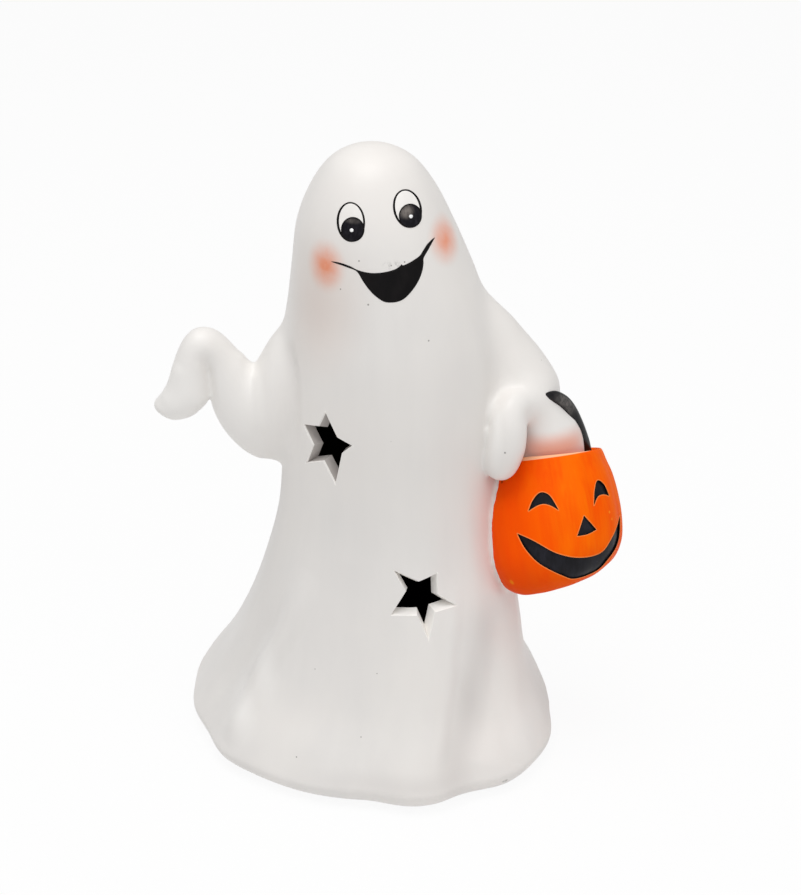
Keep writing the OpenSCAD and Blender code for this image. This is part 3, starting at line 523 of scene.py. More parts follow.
# The palm flows out of the underside of the forearm
closeness = 1 - np.maximum(to_hand, to_palm) / WEB_REACH
right = ease((co[ids, 0] / MM - PALM_X) / PALM_EASE)
weights[ids] = np.maximum(weights[ids], right * ease(closeness * PALM_GAIN))
relax(ghost, weights, 45)
outer_tree = tree_of(ghost)


def cast(x, y, tree=None):
    """Where the photograph's ray through a pixel meets a surface, and the normal there."""
    way = CAM_DIR * FOCAL_PX + CAM_RIGHT * (x - IMAGE_W / 2) - CAM_UP * (y - IMAGE_H / 2)
    way /= np.linalg.norm(way)
    hit = (tree or outer_tree).ray_cast(Vector(CAM_AT * MM), Vector(way))
    return np.array(hit[0]) / MM, np.array(hit[1])


# Soft folds of the drape. Each: way points in pixels, half width and height in millimetres
CREASES = [
    ([(456, 575), (450, 630), (444, 685), (437, 735), (431, 796)], 16.0, 1.7),
    ([(456, 575), (451, 630), (446, 685), (440, 735), (433, 796)], 5.0, 0.6),
    ([(503, 590), (500, 650), (492, 700), (480, 765)], 16.0, -2.6),
    ([(498, 625), (512, 680), (522, 730), (521, 766)], 11.0, 1.2),
    ([(311, 570), (290, 620), (264, 668), (240, 716), (223, 742)], 8.5, 2.2),
    ([(293, 600), (262, 640), (235, 675), (207, 710)], 9.0, -1.2),
    ([(345, 560), (340, 620), (325, 690), (310, 750)], 14.0, -0.7),
    ([(180, 364), (170, 385), (160, 404)], 5.0, 0.6),
    ([(257, 368), (257, 400), (260, 436)], 4.5, 0.6),
    ([(289, 340), (292, 382), (291, 420), (287, 454)], 6.5, -1.1)]


def press(obj, creases):
    """Raises or lowers a surface along smooth lines."""
    co = coordinates(obj) / MM
    normal = vectors(obj.data.vertices, "normal")
    moved = np.zeros(len(co))
    for points, reach, height in creases:
        path = smooth_rows([cast(*p)[0] for p in points], 5)
        beside = (co > path.min(0) - reach) & (co < path.max(0) + reach)
        ids = np.nonzero(np.all(beside, axis=1))[0]
        best, along = np.full(len(ids), 1e9), np.zeros(len(ids))
        for k in range(len(path) - 1):
            a, d = path[k], path[k + 1] - path[k]
            t = np.clip((co[ids] - a) @ d / d.dot(d), 0, 1)
            far = np.linalg.norm(co[ids] - a - t[:, None] * d, axis=1)
            closer = far < best
            best[closer], along[closer] = far[closer], (k + t[closer]) / (len(path) - 1)
        taper = ease(np.minimum(along, 1 - along) * 4)
        moved[ids] += height * taper * (1 - ease(best / reach))
    set_coordinates(obj, (co + normal * moved[:, None]) * MM)


press(ghost, CREASES)
outer_tree = tree_of(ghost)


# Stars: hand-cut outlines with a softened lip, seated on the real surface. Rows: direction in
# degrees, height, and corners as shares of STAR_R.
STARS = [
    [232.7, 0.573, [[-0.92, 0.06], [-0.29, 0.42], [-0.15, 0.82], [0.13, 0.54], [1.07, 0.33],
                    [0.51, -0.02], [0.76, -0.64], [0.15, -0.36], [-0.34, -0.71], [-0.46, -0.16]]],
    [284.5, 0.329, [[-0.82, -0.65], [-0.5, -0.04], [-0.66, 0.47], [-0.08, 0.45], [0.3, 0.93],
                    [0.36, 0.33], [1.1, 0.11], [0.41, -0.13], [0.41, -0.8], [-0.25, -0.38]]]]
STAR_TILT, STAR_START, STAR_STEPS = 8, 30, 6
# Each step of the cut: height above the surface and how far its edge stands out
LIP = [(6.0, 2.6), (0.5, 0.95), (0.1, 0.5), (-0.2, 0.28), (-0.7, 0.08), (-1.5, -0.12),
       (-WALL, -1.1), (-WALL - 6.0, -1.5)]


def widened(corners, by):
    """An outline with every side moved outwards."""
    ways = np.roll(corners, -1, 0) - corners
    ways /= np.linalg.norm(ways, axis=1)[:, None]
    starts = corners + np.column_stack([-ways[:, 1], ways[:, 0]]) * by
    moved = []
    for k in range(len(corners)):
        p, u, q, v = starts[k - 1], ways[k - 1], starts[k], ways[k]
        moved.append(p + u * np.linalg.solve(np.column_stack([u, -v]), q - p)[0])
    return np.array(moved)


def star_cutter(way, height, shares):
    z = height * FIGURE_H
    level = np.interp(-z, -STATIONS[:, 1], STATIONS[:, 0])
    shift = np.interp(-z, -STATIONS[:, 1], STATIONS[:, 2])
    outwards = turned(Z, math.radians(way))
    star_turn = outwards @ turned(Y, math.radians(90 - STAR_TILT))
    centre = outwards @ np.array([level, 0, 0]) + np.array([shift, 0, z])
    axis = star_turn[:, 2]

    def surface(point):
        start = point + axis * STAR_START
        return STAR_START - outer_tree.ray_cast(Vector(start * MM), Vector(-axis))[3] / MM

    rings = []
    for rise, widen in LIP:
        corners = widened(np.array(shares) * STAR_R, widen)
        flat = np.vstack([a + (b - a) * j / STAR_STEPS
                          for a, b in zip(corners, np.roll(corners, -1, 0))
                          for j in range(STAR_STEPS)])
        points = centre + flat[:, :1] * star_turn[:, 0] + flat[:, 1:] * star_turn[:, 1]
        depth = np.array([surface(p) for p in points])
        rings.append(points + axis * (depth + rise)[:, None])
    return skin("star", rings)


stars = [star_cutter(*row) for row in STARS]
star_trees = [tree_of(star) for star in stars]
star_middles = [coordinates(star).mean(0) / MM for star in stars]
BORE_SIDES = 128
bore_turn = around(BORE_SIDES)
bore = skin("bore", [np.column_stack([hem[2] + BORE_R * np.cos(bore_turn),
                                      BORE_R * np.sin(bore_turn), np.full(BORE_SIDES, z)])
                     for z in (UNDER_Z - 2, FLOOR_Z + 2)])
cavity_tree = tree_of(cavity)
boolean(ghost, [cavity] + stars + [bore])
ghost.data.set_sharp_from_angle(angle=SHARP)
pumpkin.data.set_sharp_from_angle(angle=SHARP)


# Paint: thin coats laid on the casting, placed by the photograph's rays

COAT_DEPTH = 0.12


def coat(name, points, faces, lift):
    """A thin closed solid whose top lies lift above the casting."""
    hits = [cast(*p) for p in points]
    place = np.array([h[0] for h in hits])
    normal = np.array([h[1] for h in hits])
    for _ in range(2):
        mean = normal.copy()
        for f in faces:
            mean[list(f)] += normal[list(f)].mean(0)
        normal = mean / np.linalg.norm(mean, axis=1)[:, None]
    n = len(place)
    edges = [e for f in faces for e in zip(f, f[1:] + f[:1])]
    known = set(edges)
    solid = [tuple(f) for f in faces] + [tuple(n + v for v in reversed(f)) for f in faces]
    solid += [(b, a, n + a, n + b) for a, b in edges if (b, a) not in known]
    points = np.vstack([place + normal * lift, place - normal * COAT_DEPTH])
    return outward(make(name, points, solid))


def filled(name, outline, lift, spacing=1.6):
    """A coat over the inside of an outline in pixels."""
    low, high = outline.min(0) + spacing / 2, outline.max(0)
    inside = [(x, y) for y in np.arange(low[1], high[1], spacing)
              for x in np.arange(low[0], high[0], spacing)
              if in_outline(outline, x, y) and near(outline, x, y) > spacing * 0.55]
    points = [Vector(p) for p in np.vstack([outline, inside])]
    result = delaunay_2d_cdt(points, [], [list(range(len(outline)))], 1, 1e-6)
    return coat(name, [tuple(v) for v in result[0]], [list(f) for f in result[2]], lift)


def in_outline(o, x, y):
    """Whether a point lies inside a closed outline."""
    a, b = o, np.roll(o, -1, 0)
    crosses = (a[:, 1] > y) != (b[:, 1] > y)
    with np.errstate(divide="ignore", invalid="ignore"):
        at = a[:, 0] + (y - a[:, 1]) * (b[:, 0] - a[:, 0]) / (b[:, 1] - a[:, 1])
    return bool(np.count_nonzero(crosses & (x < at)) % 2)


def near(o, x, y):
    """Distance from a point to a closed outline."""
    a, b = o, np.roll(o, -1, 0)
    d = b - a
    t = np.clip(((x - a[:, 0]) * d[:, 0] + (y - a[:, 1]) * d[:, 1]) / (d ** 2).sum(1), 0, 1)
    return float(np.hypot(a[:, 0] + t * d[:, 0] - x, a[:, 1] + t * d[:, 1] - y).min())


def ellipse(cx, cy, rx, ry, tilt=0.0, count=48):
    t = around(count)
    x, y = rx * np.cos(t), ry * np.sin(t)
    c, s = math.cos(math.radians(tilt)), math.sin(math.radians(tilt))
    return np.column_stack([cx + x * c - y * s, cy + x * s + y * c])


def ring_coat(name, outer_line, inner_line, lift):
    """A coat between two closed lines with the same number of points."""
    n = len(outer_line)
    middle = (outer_line + inner_line) / 2
    points = np.vstack([outer_line, middle, inner_line])
    faces = [[row + j, row + (j + 1) % n, row + n + (j + 1) % n, row + n + j]
             for j in range(n) for row in (0, n)]
    return coat(name, points.tolist(), faces, lift)


def closed_line(points, steps):
    """A smooth closed line through points."""
    wrapped = np.vstack([points[-2:], points, points[:3]])
    return smooth_rows(wrapped, steps)[2 * steps:(2 + len(points)) * steps]


# Eyes: a white ball, a dark outline, a pupil and a glint, in pixels. Rows: middle and radii, tilt,
# how much thicker the outline is on one side, the pupil, and the glint's middle.
EYES = [
    ("left", 350.9, 222.0, 14.2, 20.0, -3, -0.15, (352.8, 229.4, 11.7, 12.4), (351.7, 230.2)),
    ("right", 407.4, 208.6, 14.2, 19.6, -13, -0.05, (410.3, 215.8, 11.5, 12.1), (410.8, 216.4))]
coats = {"eye_white": [], "black_paint": [], "pupil_paint": [], "glint_paint": []}
for side, cx, cy, rx, ry, tilt, thin, (px, py, pr, ph), glint in EYES:
    ball = ellipse(cx, cy, rx - 1, ry - 1, tilt, 64)
    outside = ellipse(cx, cy, rx, ry, tilt, 64)
    inside = ellipse(cx - thin, cy, rx - 2.1, ry - 1.4, tilt, 64)
    pupil, within = ellipse(px, py, pr, ph), ellipse(px - 0.2, py, pr - 1.3, ph - 1.2)
    coats["eye_white"].append(filled(f"eye_white_{side}", ball, 0.04))
    coats["black_paint"].append(ring_coat(f"eye_outline_{side}", outside, inside, 0.08))
    coats["pupil_paint"].append(filled(f"pupil_{side}", pupil, 0.1, 1.4))
    coats["black_paint"].append(ring_coat(f"pupil_rim_{side}", pupil, within, 0.12))
    dot = ellipse(*glint, 1.9, 1.9, 0, 16)
    coats["glint_paint"].append(filled(f"glint_{side}", dot, 0.16, 1.2))

MOUTH = [(331.2, 261.4), (338, 262.2), (345, 264.2), (351, 266.6), (356.5, 269.6), (363, 271.6),
         (371, 273.0), (380, 272.8), (389, 271.2), (396, 268.8), (400, 266.0), (401.6, 264.3),
         (403.2, 265.4), (409, 262.8), (415, 259.2), (420, 255.4), (423.6, 249.6), (428, 243.2),
         (434.6, 237.4), (431.6, 243.4), (428.4, 249.4), (425.2, 254.8), (423.4, 259.0),
         (423.4, 264.0), (422.0, 272.0), (418.4, 281.0), (412.6, 290.0), (405.6, 297.6),
         (399.0, 301.4), (391.0, 302.6), (383.6, 301.6), (376.0, 296.6), (369.0, 289.6),
         (362.6, 280.6), (358.6, 273.6), (354.6, 270.0), (348, 267.6), (341, 265.0), (336, 263.4)]
coats["black_paint"].append(filled("mouth", closed_line(MOUTH, 3), 0.08))


# Materials

def rgb(r, g, b):
    """Linear colour of an sRGB one with parts from 0 to 255."""
    parts = [v / 255 for v in (r, g, b)]
    return (*(v / 12.92 if v <= 0.04045 else ((v + 0.055) / 1.055) ** 2.4 for v in parts), 1.0)


def lighter(color, by):
    return (*(min(1.0, c * by) for c in color[:3]), 1.0)


def dress(obj, *mats):
    obj.data.materials.clear()
    for mat in mats:
        obj.data.materials.append(mat)


class Nodes:
    """A material's nodes, with short calls to add and link them."""

    def __init__(self, name):
        self.mat = bpy.data.materials.new(name)
        self.mat.use_nodes = True
        self.tree = self.mat.node_tree
        self.shader = self.tree.nodes["Principled BSDF"]
        self.where = self.add("ShaderNodeTexCoord").outputs["Object"]

    def put(self, socket, value):
        if isinstance(value, bpy.types.NodeSocket):
            self.tree.links.new(value, socket)
        else:
            socket.default_value = value

    def add(self, kind, inputs=None, **values):
        node = self.tree.nodes.new(kind)
        for key, value in values.items():
            setattr(node, key, value)
        for key, value in (inputs or {}).items():
            self.put(node.inputs[key], value)
        return node

    def math(self, kind, a, b):
        return self.add("ShaderNodeMath", {0: a, 1: b}, operation=kind).outputs[0]

    def times(self, a, b):
        return self.math("MULTIPLY", a, b)

    def mix(self, factor, a, b):
        return self.add("ShaderNodeMix", {"Factor": factor, "A": a, "B": b},
                        data_type="RGBA").outputs["Result"]

    def tinted(self, color, mask, strength, tint):
        """The colour with a tint over it where the mask is 1."""
        return self.mix(self.times(mask, strength), color, tint)

    def span(self, value, low, high, to_low=0.0, to_high=1.0):
        """The value taken smoothly from one range to another."""
        return self.add("ShaderNodeMapRange", {
            "Value": value, "From Min": low, "From Max": high, "To Min": to_low,
            "To Max": to_high}, interpolation_type="SMOOTHSTEP").outputs["Result"]

    def noise(self, scale, detail=3.0, rough=0.5, stretch=None, where=None):
        where = where or self.where
        if stretch:
            where = self.add("ShaderNodeMapping", {"Vector": where, "Scale": stretch}).outputs[0]
        return self.add("ShaderNodeTexNoise", {"Vector": where, "Scale": scale, "Detail": detail,
                                               "Roughness": rough}).outputs["Fac"]

    def attribute(self, name, output="Fac"):
        return self.add("ShaderNodeAttribute", attribute_name=name).outputs[output]

    def ball(self, centre, radii, soft=0.0):
        """1 in the middle of an ellipsoid in metres, 0 outside it."""
        node = self.add("ShaderNodeMapping", {"Vector": self.where, "Location": centre,
                                              "Scale": radii}, vector_type="TEXTURE")
        far = self.add("ShaderNodeVectorMath", {0: node.outputs[0]}, operation="LENGTH")
        return self.span(far.outputs["Value"], soft, 1.0, 1.0, 0.0)

    def speckle(self, scale, size, keep):
        """Sparse round dots: 1 inside a dot."""
        node = self.add("ShaderNodeTexVoronoi", {"Vector": self.where, "Scale": scale})
        dot = self.span(node.outputs["Distance"], size * 0.6, size, 1.0, 0.0)
        pick = self.add("ShaderNodeSeparateColor", {0: node.outputs["Color"]}).outputs[0]
        return self.times(dot, self.math("GREATER_THAN", pick, keep))

    def bump(self, height, strength, distance):
        node = self.add("ShaderNodeBump", {"Height": height, "Strength": strength,
                                           "Distance": distance})
        self.put(self.shader.inputs["Normal"], node.outputs[0])

    def surface(self, color, rough, specular=0.5, metal=0.0):
        """Sets the shader and gives the finished material."""
        for name, value in (("Base Color", color), ("Roughness", rough), ("Metallic", metal),
                            ("Specular IOR Level", specular)):
            self.put(self.shader.inputs[name], value)
        return self.mat


def place_on(x, y, tree=None):
    """The place in metres that the photograph shows at a pixel."""
    return tuple(cast(x, y, tree)[0] * MM)


# Painted shade and painted highlight on the white paint: greyer in the folds' valleys and
# under the front of the hem, paler on the ridges; the blush's faint outer spray, darkened
# below the left cheek as painted shade; and an orange tint on the palm along the rim.
# Rows: pixel, radii in metres, strength and tint.
PAINTED_SHADE, PAINTED_HIGHLIGHT, ORANGE = rgb(204, 199, 196), rgb(248, 246, 243), rgb(236, 132, 88)
PAINTED_LIGHT_AND_TINTS = [
    (482, 640, (0.011, 0.03, 0.026), 0.4, PAINTED_SHADE), (470, 700, (0.01, 0.03, 0.026), 0.5, PAINTED_SHADE),
    (458, 765, (0.011, 0.03, 0.022), 0.35, PAINTED_SHADE), (400, 789, (0.06, 0.03, 0.007), 0.32, PAINTED_SHADE),
    (266, 672, (0.007, 0.03, 0.018), 0.4, PAINTED_HIGHLIGHT), (243, 712, (0.008, 0.03, 0.016), 0.45, PAINTED_HIGHLIGHT),
    (528, 725, (0.012, 0.03, 0.02), 0.45, PAINTED_HIGHLIGHT),
    (320, 304, (0.024, 0.03, 0.036), 0.24, rgb(184, 140, 116)),
    (543, 450, (0.017, 0.016, 0.0085), 0.66, ORANGE),
    (570, 445, (0.015, 0.018, 0.0085), 0.6, ORANGE)]
# Pinholes: pixel and radius in millimetres
PITS = [(359.0, 261.0, 0.45), (340.5, 289.2, 0.4), (368.2, 304.7, 0.5), (428.7, 340.7, 0.45),
        (505.0, 452.8, 0.55), (391.2, 265.6, 0.4), (404.6, 262.0, 0.45), (296.5, 757.0, 0.42),
        (315.0, 669.0, 0.3), (377.0, 673.5, 0.3), (361.0, 737.0, 0.35)]


def white_ceramic():
    n = Nodes("white_ceramic_paint")
    cloud = n.noise(14, 3, 0.5)
    brush = n.noise(55, 4, 0.6, (1.0, 1.0, 0.1))
    color = n.mix(n.span(cloud, 0.35, 0.65), rgb(228, 225, 222), rgb(233, 229, 225))
    color = n.mix(n.span(brush, 0.3, 0.75, 0.0, 0.4), color, rgb(238, 235, 231))
    # Painted highlight: the arms are painted lighter, most of all on the lower hand's left edge
    for centre, radii, strength in (((-0.075, -0.01, 0.15), (0.05, 0.07, 0.05), 0.55),
                                    ((0.06, -0.03, 0.135), (0.026, 0.05, 0.04), 0.35),
                                    (place_on(493, 436), (0.005, 0.012, 0.02), 0.9)):
        color = n.tinted(color, n.ball(centre, radii, 0.2), strength, rgb(246, 244, 241))
    # Airbrushed blush on both cheeks
    patchy = n.span(n.noise(260, 3), 0.3, 0.7, 0.8, 1.0)
    for x, y, strength in ((325.5, 266, 0.92), (445.5, 239, 0.8)):
        mask = n.ball(place_on(x, y), (0.0092, 0.014, 0.0112))
        color = n.tinted(color, n.times(mask, patchy), strength, rgb(238, 132, 82))
    # Painted shade and painted highlight in the folds, painted shade below the left cheek, and the
    # palm's orange tint
    for x, y, radii, strength, tint in PAINTED_LIGHT_AND_TINTS:
        color = n.tinted(color, n.ball(place_on(x, y), radii), strength, tint)
    # A smudge above the mouth, pinholes in the glaze, a chip at the hem and fine specks
    smudge = n.times(n.ball(place_on(393, 265), (0.005, 0.006, 0.0022), 0.1),
                     n.span(n.noise(700, 4, 0.7), 0.45, 0.7))
    color = n.tinted(color, smudge, 0.6, rgb(150, 147, 145))
    for x, y, r in PITS:
        pit = n.ball(place_on(x, y), (r * MM,) * 3, 0.3)
        color = n.tinted(color, pit, 0.75, rgb(96, 88, 82))
    chip = n.times(n.ball(place_on(505, 781), (0.0018, 0.0018, 0.0011), 0.3),
                   n.span(n.noise(900, 3), 0.35, 0.6, 0.4, 1.0))
    color = n.tinted(color, chip, 0.8, rgb(156, 158, 152))
    color = n.tinted(color, n.speckle(120, 0.045, 0.965), 0.35, rgb(140, 130, 122))
    height = n.math("ADD", n.times(cloud, 0.5), n.times(n.noise(900, 3, 0.6), 0.08))
    n.bump(n.math("ADD", height, n.times(brush, 0.12)), 0.12, 0.0015)
    return n.surface(color, n.span(cloud, 0.3, 0.7, 0.36, 0.44), 0.36)


# Painted shade: the hollow's walls are painted near-black
def painted_shade_inside():
    n = Nodes("painted_shade_inside")
    n.bump(n.noise(300, 3), 0.3, 0.0006)
    return n.surface(n.mix(n.noise(60, 3), rgb(24, 20, 18), rgb(38, 32, 29)), 0.95, 0.1)


def black_paint(name, low, high, rough, specular=0.12):
    n = Nodes(name)
    stroke = n.noise(300, 4, 0.6, (1.0, 1.0, 0.2))
    n.bump(stroke, 0.2, 0.0003)
    return n.surface(n.mix(n.span(stroke, 0.35, 0.75), low, high),
                     n.span(stroke, 0.2, 0.8, rough - 0.08, rough + 0.1), specular)


def pupil_paint():
    """Black that is brushed thin on the upper left of the right pupil."""
    n = Nodes("pupil_brush_paint")
    hair = n.noise(700, 4, 0.65, (1.0, 1.0, 0.35))
    color = n.mix(n.span(hair, 0.4, 0.8), rgb(15, 13, 19), rgb(38, 36, 42))
    for x, y, radii, strength in ((406.5, 211.5, (0.0036, 0.006, 0.0032), 0.75),
                                  (352.5, 220.8, (0.004, 0.006, 0.0014), 0.3)):
        thin = n.times(n.ball(place_on(x, y), radii, 0.1), n.span(hair, 0.3, 0.6, 0.5, 1.0))
        color = n.tinted(color, thin, strength, rgb(146, 138, 132))
    n.bump(hair, 0.2, 0.0003)
    return n.surface(color, 0.45, 0.12)


def paint_white(name, color):
    n = Nodes(name)
    cloud = n.noise(120, 3)
    n.bump(cloud, 0.1, 0.0004)
    return n.surface(n.mix(n.span(cloud, 0.3, 0.7), color, lighter(color, 1.06)), 0.4, 0.3)


# The stars' cut walls are painted lighter as painted light, and the left star's deep walls greyer
# as painted shade
dress(ghost, white_ceramic(), painted_shade_inside(), paint_white("star_edge_painted_light", rgb(243, 240, 236)),
      paint_white("star_wall_painted_shade", rgb(190, 184, 180)))
WHITE, HOLLOW_SHADE, CUT_EDGE_LIT, CUT_WALL_SHADE = range(4)
mats = {"black_paint": black_paint("black_line_paint", rgb(10, 8, 9), rgb(20, 17, 18), 0.5),
        "pupil_paint": pupil_paint(),
        "eye_white": paint_white("eye_white_paint", rgb(236, 233, 229)),
        "glint_paint": paint_white("glint_paint", rgb(246, 246, 246))}
for kind, objs in coats.items():
    for o in objs:
        dress(o, mats[kind])

# The hollow gets the near-black painted shade, the stars' cut walls a lighter paint as painted
# light, and the deep walls of the left star a greyer paint as painted shade. Lengths in metres.
SEARCH, HOLLOW_X, STAR_NEAR, DEEP_REACH, DEEP = 0.0005, 0.085, 1.7 * STAR_R * MM, 0.002, 0.0009
centres = face_centres(ghost)
index = np.full(len(centres), WHITE)
above_floor = centres[:, 2] > FLOOR_Z * MM - TOUCHING
ids = np.nonzero((np.abs(centres[:, 0]) < HOLLOW_X) & above_floor)[0]
index[ids[distances(cavity_tree, centres[ids], SEARCH) < TOUCHING]] = HOLLOW_SHADE
for tree, middle in zip(star_trees, star_middles):
    near_star = np.linalg.norm(centres - middle * MM, axis=1) < STAR_NEAR
    ids = np.nonzero(near_star & (index == WHITE))[0]
    ids = ids[distances(tree, centres[ids], SEARCH) < TOUCHING]
    index[ids] = CUT_EDGE_LIT
    if tree is star_trees[0]:
        index[ids[distances(outer_tree, centres[ids], DEEP_REACH) > DEEP]] = CUT_WALL_SHADE
ghost.data.polygons.foreach_set("material_index", index)
ghost.data.update()

# Blots where the orange glaze gathered: pixel, radius in millimetres and tint
BLOTS = [(506.5, 478.5, 1.5, rgb(206, 128, 30)), (502.0, 482.0, 0.9, rgb(120, 52, 14)),
         (511.7, 582.2, 1.6, rgb(238, 140, 20)), (560.0, 450.5, 1.2, rgb(226, 136, 50)),
         (609.5, 512.0, 0.8, rgb(255, 158, 40)), (612.0, 519.0, 0.8, rgb(255, 158, 40))]
pumpkin_tree = tree_of(pumpkin)


def orange_glaze():
    n = Nodes("orange_pumpkin_glaze")
    local = n.attribute("local_place", "Vector")
    streak = n.noise(1.0, 2, 0.5, (0.15, 0.15, 0.03), local)
    fine = n.noise(1.0, 3, 0.55, (0.9, 0.9, 0.07), local)
    color = n.mix(n.span(streak, 0.32, 0.68), rgb(250, 86, 0), rgb(255, 106, 0))
    color = n.mix(n.span(fine, 0.35, 0.75, 0.0, 0.3), color, rgb(255, 120, 4))
    # Redder and darker in the grooves, on the side towards the body and towards the bottom
    color = n.tinted(color, n.attribute("groove"), 0.12, rgb(236, 66, 0))
    color = n.tinted(color, n.attribute("side"), 0.7, rgb(250, 74, 0))
    color = n.tinted(color, n.attribute("low"), 0.75, rgb(222, 72, 2))
    # Painted highlight on the edges of the cut features, and lighter, nearly white, along the rim
    color = n.mix(n.span(n.attribute("edge"), 0.1, 0.45, 0.75, 0.0), color, rgb(255, 156, 84))
    color = n.mix(n.span(n.attribute("rim"), 0.2, 0.8, 0.0, 0.85), color, rgb(255, 202, 160))
    # The glaze stops short of the white casting, behind a thin brown edge
    wobble = n.math("ADD", n.attribute("join_gap"), n.times(n.noise(420, 2), -0.7))
    color = n.mix(n.span(wobble, 0.55, 0.8, 0.7, 0.0), color, rgb(170, 66, 10))
    color = n.mix(n.span(wobble, 0.35, 0.55, 1.0, 0.0), color, rgb(244, 226, 212))
    for x, y, r, tint in BLOTS:
        blot = n.times(n.ball(place_on(x, y, pumpkin_tree), (r * MM,) * 3, 0.2),
                       n.span(n.noise(500, 3), 0.3, 0.6, 0.6, 1.0))
        color = n.tinted(color, blot, 0.8, tint)
    n.bump(n.math("ADD", streak, n.times(n.noise(500, 2), 0.2)), 0.12, 0.0006)
    return n.surface(color, 0.5, 0.04)


dress(pumpkin, orange_glaze(),
      black_paint("pumpkin_feature_paint", rgb(17, 16, 21), rgb(36, 36, 44), 0.42, 0.16))

# Painted recesses: faces that lie on a feature's walls or floor
centres = from_bucket(face_centres(pumpkin) / MM)
index = np.zeros(len(centres), int)
form = bucket_form("form")
form_tree = tree_of(form)
remove(form)
MARGIN, ON_OUTLINE = 0.1, 0.02
corners = [(*(o.min(0) - MARGIN), *(o.max(0) + MARGIN)) for o in outlines]
for i in np.nonzero(centres[:, 1] < 0)[0]:
    x, y = centres[i, 0], centres[i, 2]
    for o, (left, low, right, high) in zip(outlines, corners):
        if (left < x < right and low < y < high
                and (in_outline(o, x, y) or near(o, x, y) < ON_OUTLINE)):
            world = Vector(at_bucket(centres[i]) * MM)
            index[i] = form_tree.find_nearest(world)[3] > TOUCHING
            break
pumpkin.data.polygons.foreach_set("material_index", index)


def attribute(obj, name, values):
    """Stores a number or a vector for each vertex."""
    values = np.asarray(values, np.float32)
    kind, key = ("FLOAT_VECTOR", "vector") if values.ndim == 2 else ("FLOAT", "value")
    obj.data.attributes.new(name, kind, "POINT").data.foreach_set(key, values.ravel())


# What the glaze reads, in the pumpkin's own frame
GAP_REACH, EDGE_REACH = 0.003, 2.0
co = coordinates(pumpkin)
place = from_bucket(co / MM)
turn = np.arctan2(place[:, 1], place[:, 0])
gap = np.min([distances(t, co, GAP_REACH) for t in trees], axis=0) / MM
attribute(pumpkin, "local_place", place)
attribute(pumpkin, "groove", np.clip(1 - np.abs(np.sin(LOBES * turn / 2)) * 2.2, 0, 1))
attribute(pumpkin, "low", ease((-place[:, 2] - 8) / 22))
attribute(pumpkin, "side", ease((-place[:, 0] - 4) / 18))
attribute(pumpkin, "join_gap", gap)
edge = np.full(len(co), EDGE_REACH)
for i in np.nonzero(place[:, 1] < 0)[0]:
    edge[i] = min(EDGE_REACH, *(near(o, place[i, 0], place[i, 2]) for o in outlines))
attribute(pumpkin, "edge", edge)
crest = ease((place[:, 2] / BUCKET_H - 0.484) / 0.008)
attribute(pumpkin, "rim", crest * ease((0.5 - place[:, 0] / BUCKET_R) / 0.1))
pumpkin.data.update()

# Handle strap in relief on the palm. Rows: sideways, forwards and up from the rim as shares of
# BUCKET_R, then its half width and half depth as shares of STRAP_R.
STRAP_SHARES = [
    [-0.205, 0.858, 0.91, 0.25, 0.3], [-0.13, 0.823, 0.88, 0.62, 0.55],
    [-0.035, 0.765, 0.845, 0.92, 0.72], [0.072, 0.674, 0.785, 1.1, 0.82],
    [0.178, 0.583, 0.69, 1.25, 0.9], [0.262, 0.505, 0.55, 1.4, 0.98],
    [0.335, 0.428, 0.395, 1.42, 1.05], [0.41, 0.346, 0.235, 1.32, 1.05],
    [0.484, 0.242, 0.09, 1.18, 1.0], [0.545, 0.13, -0.052, 1.05, 0.95],
    [0.585, 0.06, -0.174, 0.95, 0.92]]
STRAP_SIDES = 40
r = smooth_rows(STRAP_SHARES, 6)
path = np.column_stack([r[:, 0] * BUCKET_R, -r[:, 1] * BUCKET_R,
                        r[:, 2] * BUCKET_R + BUCKET_H / 2, r[:, 3:] * STRAP_R])
strap = skin("bucket_handle_glazed", [at_bucket(ring) for ring in limb_rings(path, STRAP_SIDES)])
attribute(strap, "across", [0, *np.tile(np.cos(around(STRAP_SIDES)), len(r)), 0])
attribute(strap, "along", [0, *np.repeat(np.arange(len(r)) / (len(r) - 1), STRAP_SIDES), 1])


def handle_paint():
    n = Nodes("handle_black_glaze")
    wear = n.noise(420, 4, 0.65)
    black = n.mix(n.span(wear, 0.5, 0.85), rgb(14, 13, 15), rgb(38, 36, 38))
    # Painted highlight, partly a thin grey dry brush, on the face of the upper end between its
    # black edges
    across, along = n.math("ABSOLUTE", n.attribute("across"), 0.0), n.attribute("along")
    thin = n.times(n.span(across, 0.45, 0.78, 1.0, 0.0),
                   n.times(n.span(along, 0.1, 0.32), n.span(along, 0.38, 0.52, 1.0, 0.0)))
    thin = n.times(thin, n.span(wear, 0.35, 0.65, 0.3, 1.0))
    n.bump(wear, 0.25, 0.0004)
    return n.surface(n.mix(thin, black, rgb(104, 100, 97)),
                     n.span(wear, 0.3, 0.8, 0.36, 0.5), 0.25)


dress(strap, handle_paint())


# Light unit: the CAD nodes with their own materials

def moulded(name, color, rough, texture=0.08):
    n = Nodes(name)
    grain = n.noise(2500, 2)
    n.bump(grain, texture, 0.0002)
    return n.surface(n.mix(n.noise(60, 2), color, lighter(color, 1.05)),
                     n.span(grain, 0.3, 0.7, rough - 0.05, rough + 0.05))


def metal(name, color, rough):
    n = Nodes(name)
    brush = n.noise(400, 3, 0.6, (0.1, 1.0, 1.0))
    n.bump(brush, 0.1, 0.0002)
    return n.surface(n.mix(brush, color, lighter(color, 1.15)),
                     n.span(brush, 0.3, 0.7, rough, rough + 0.12), metal=1.0)


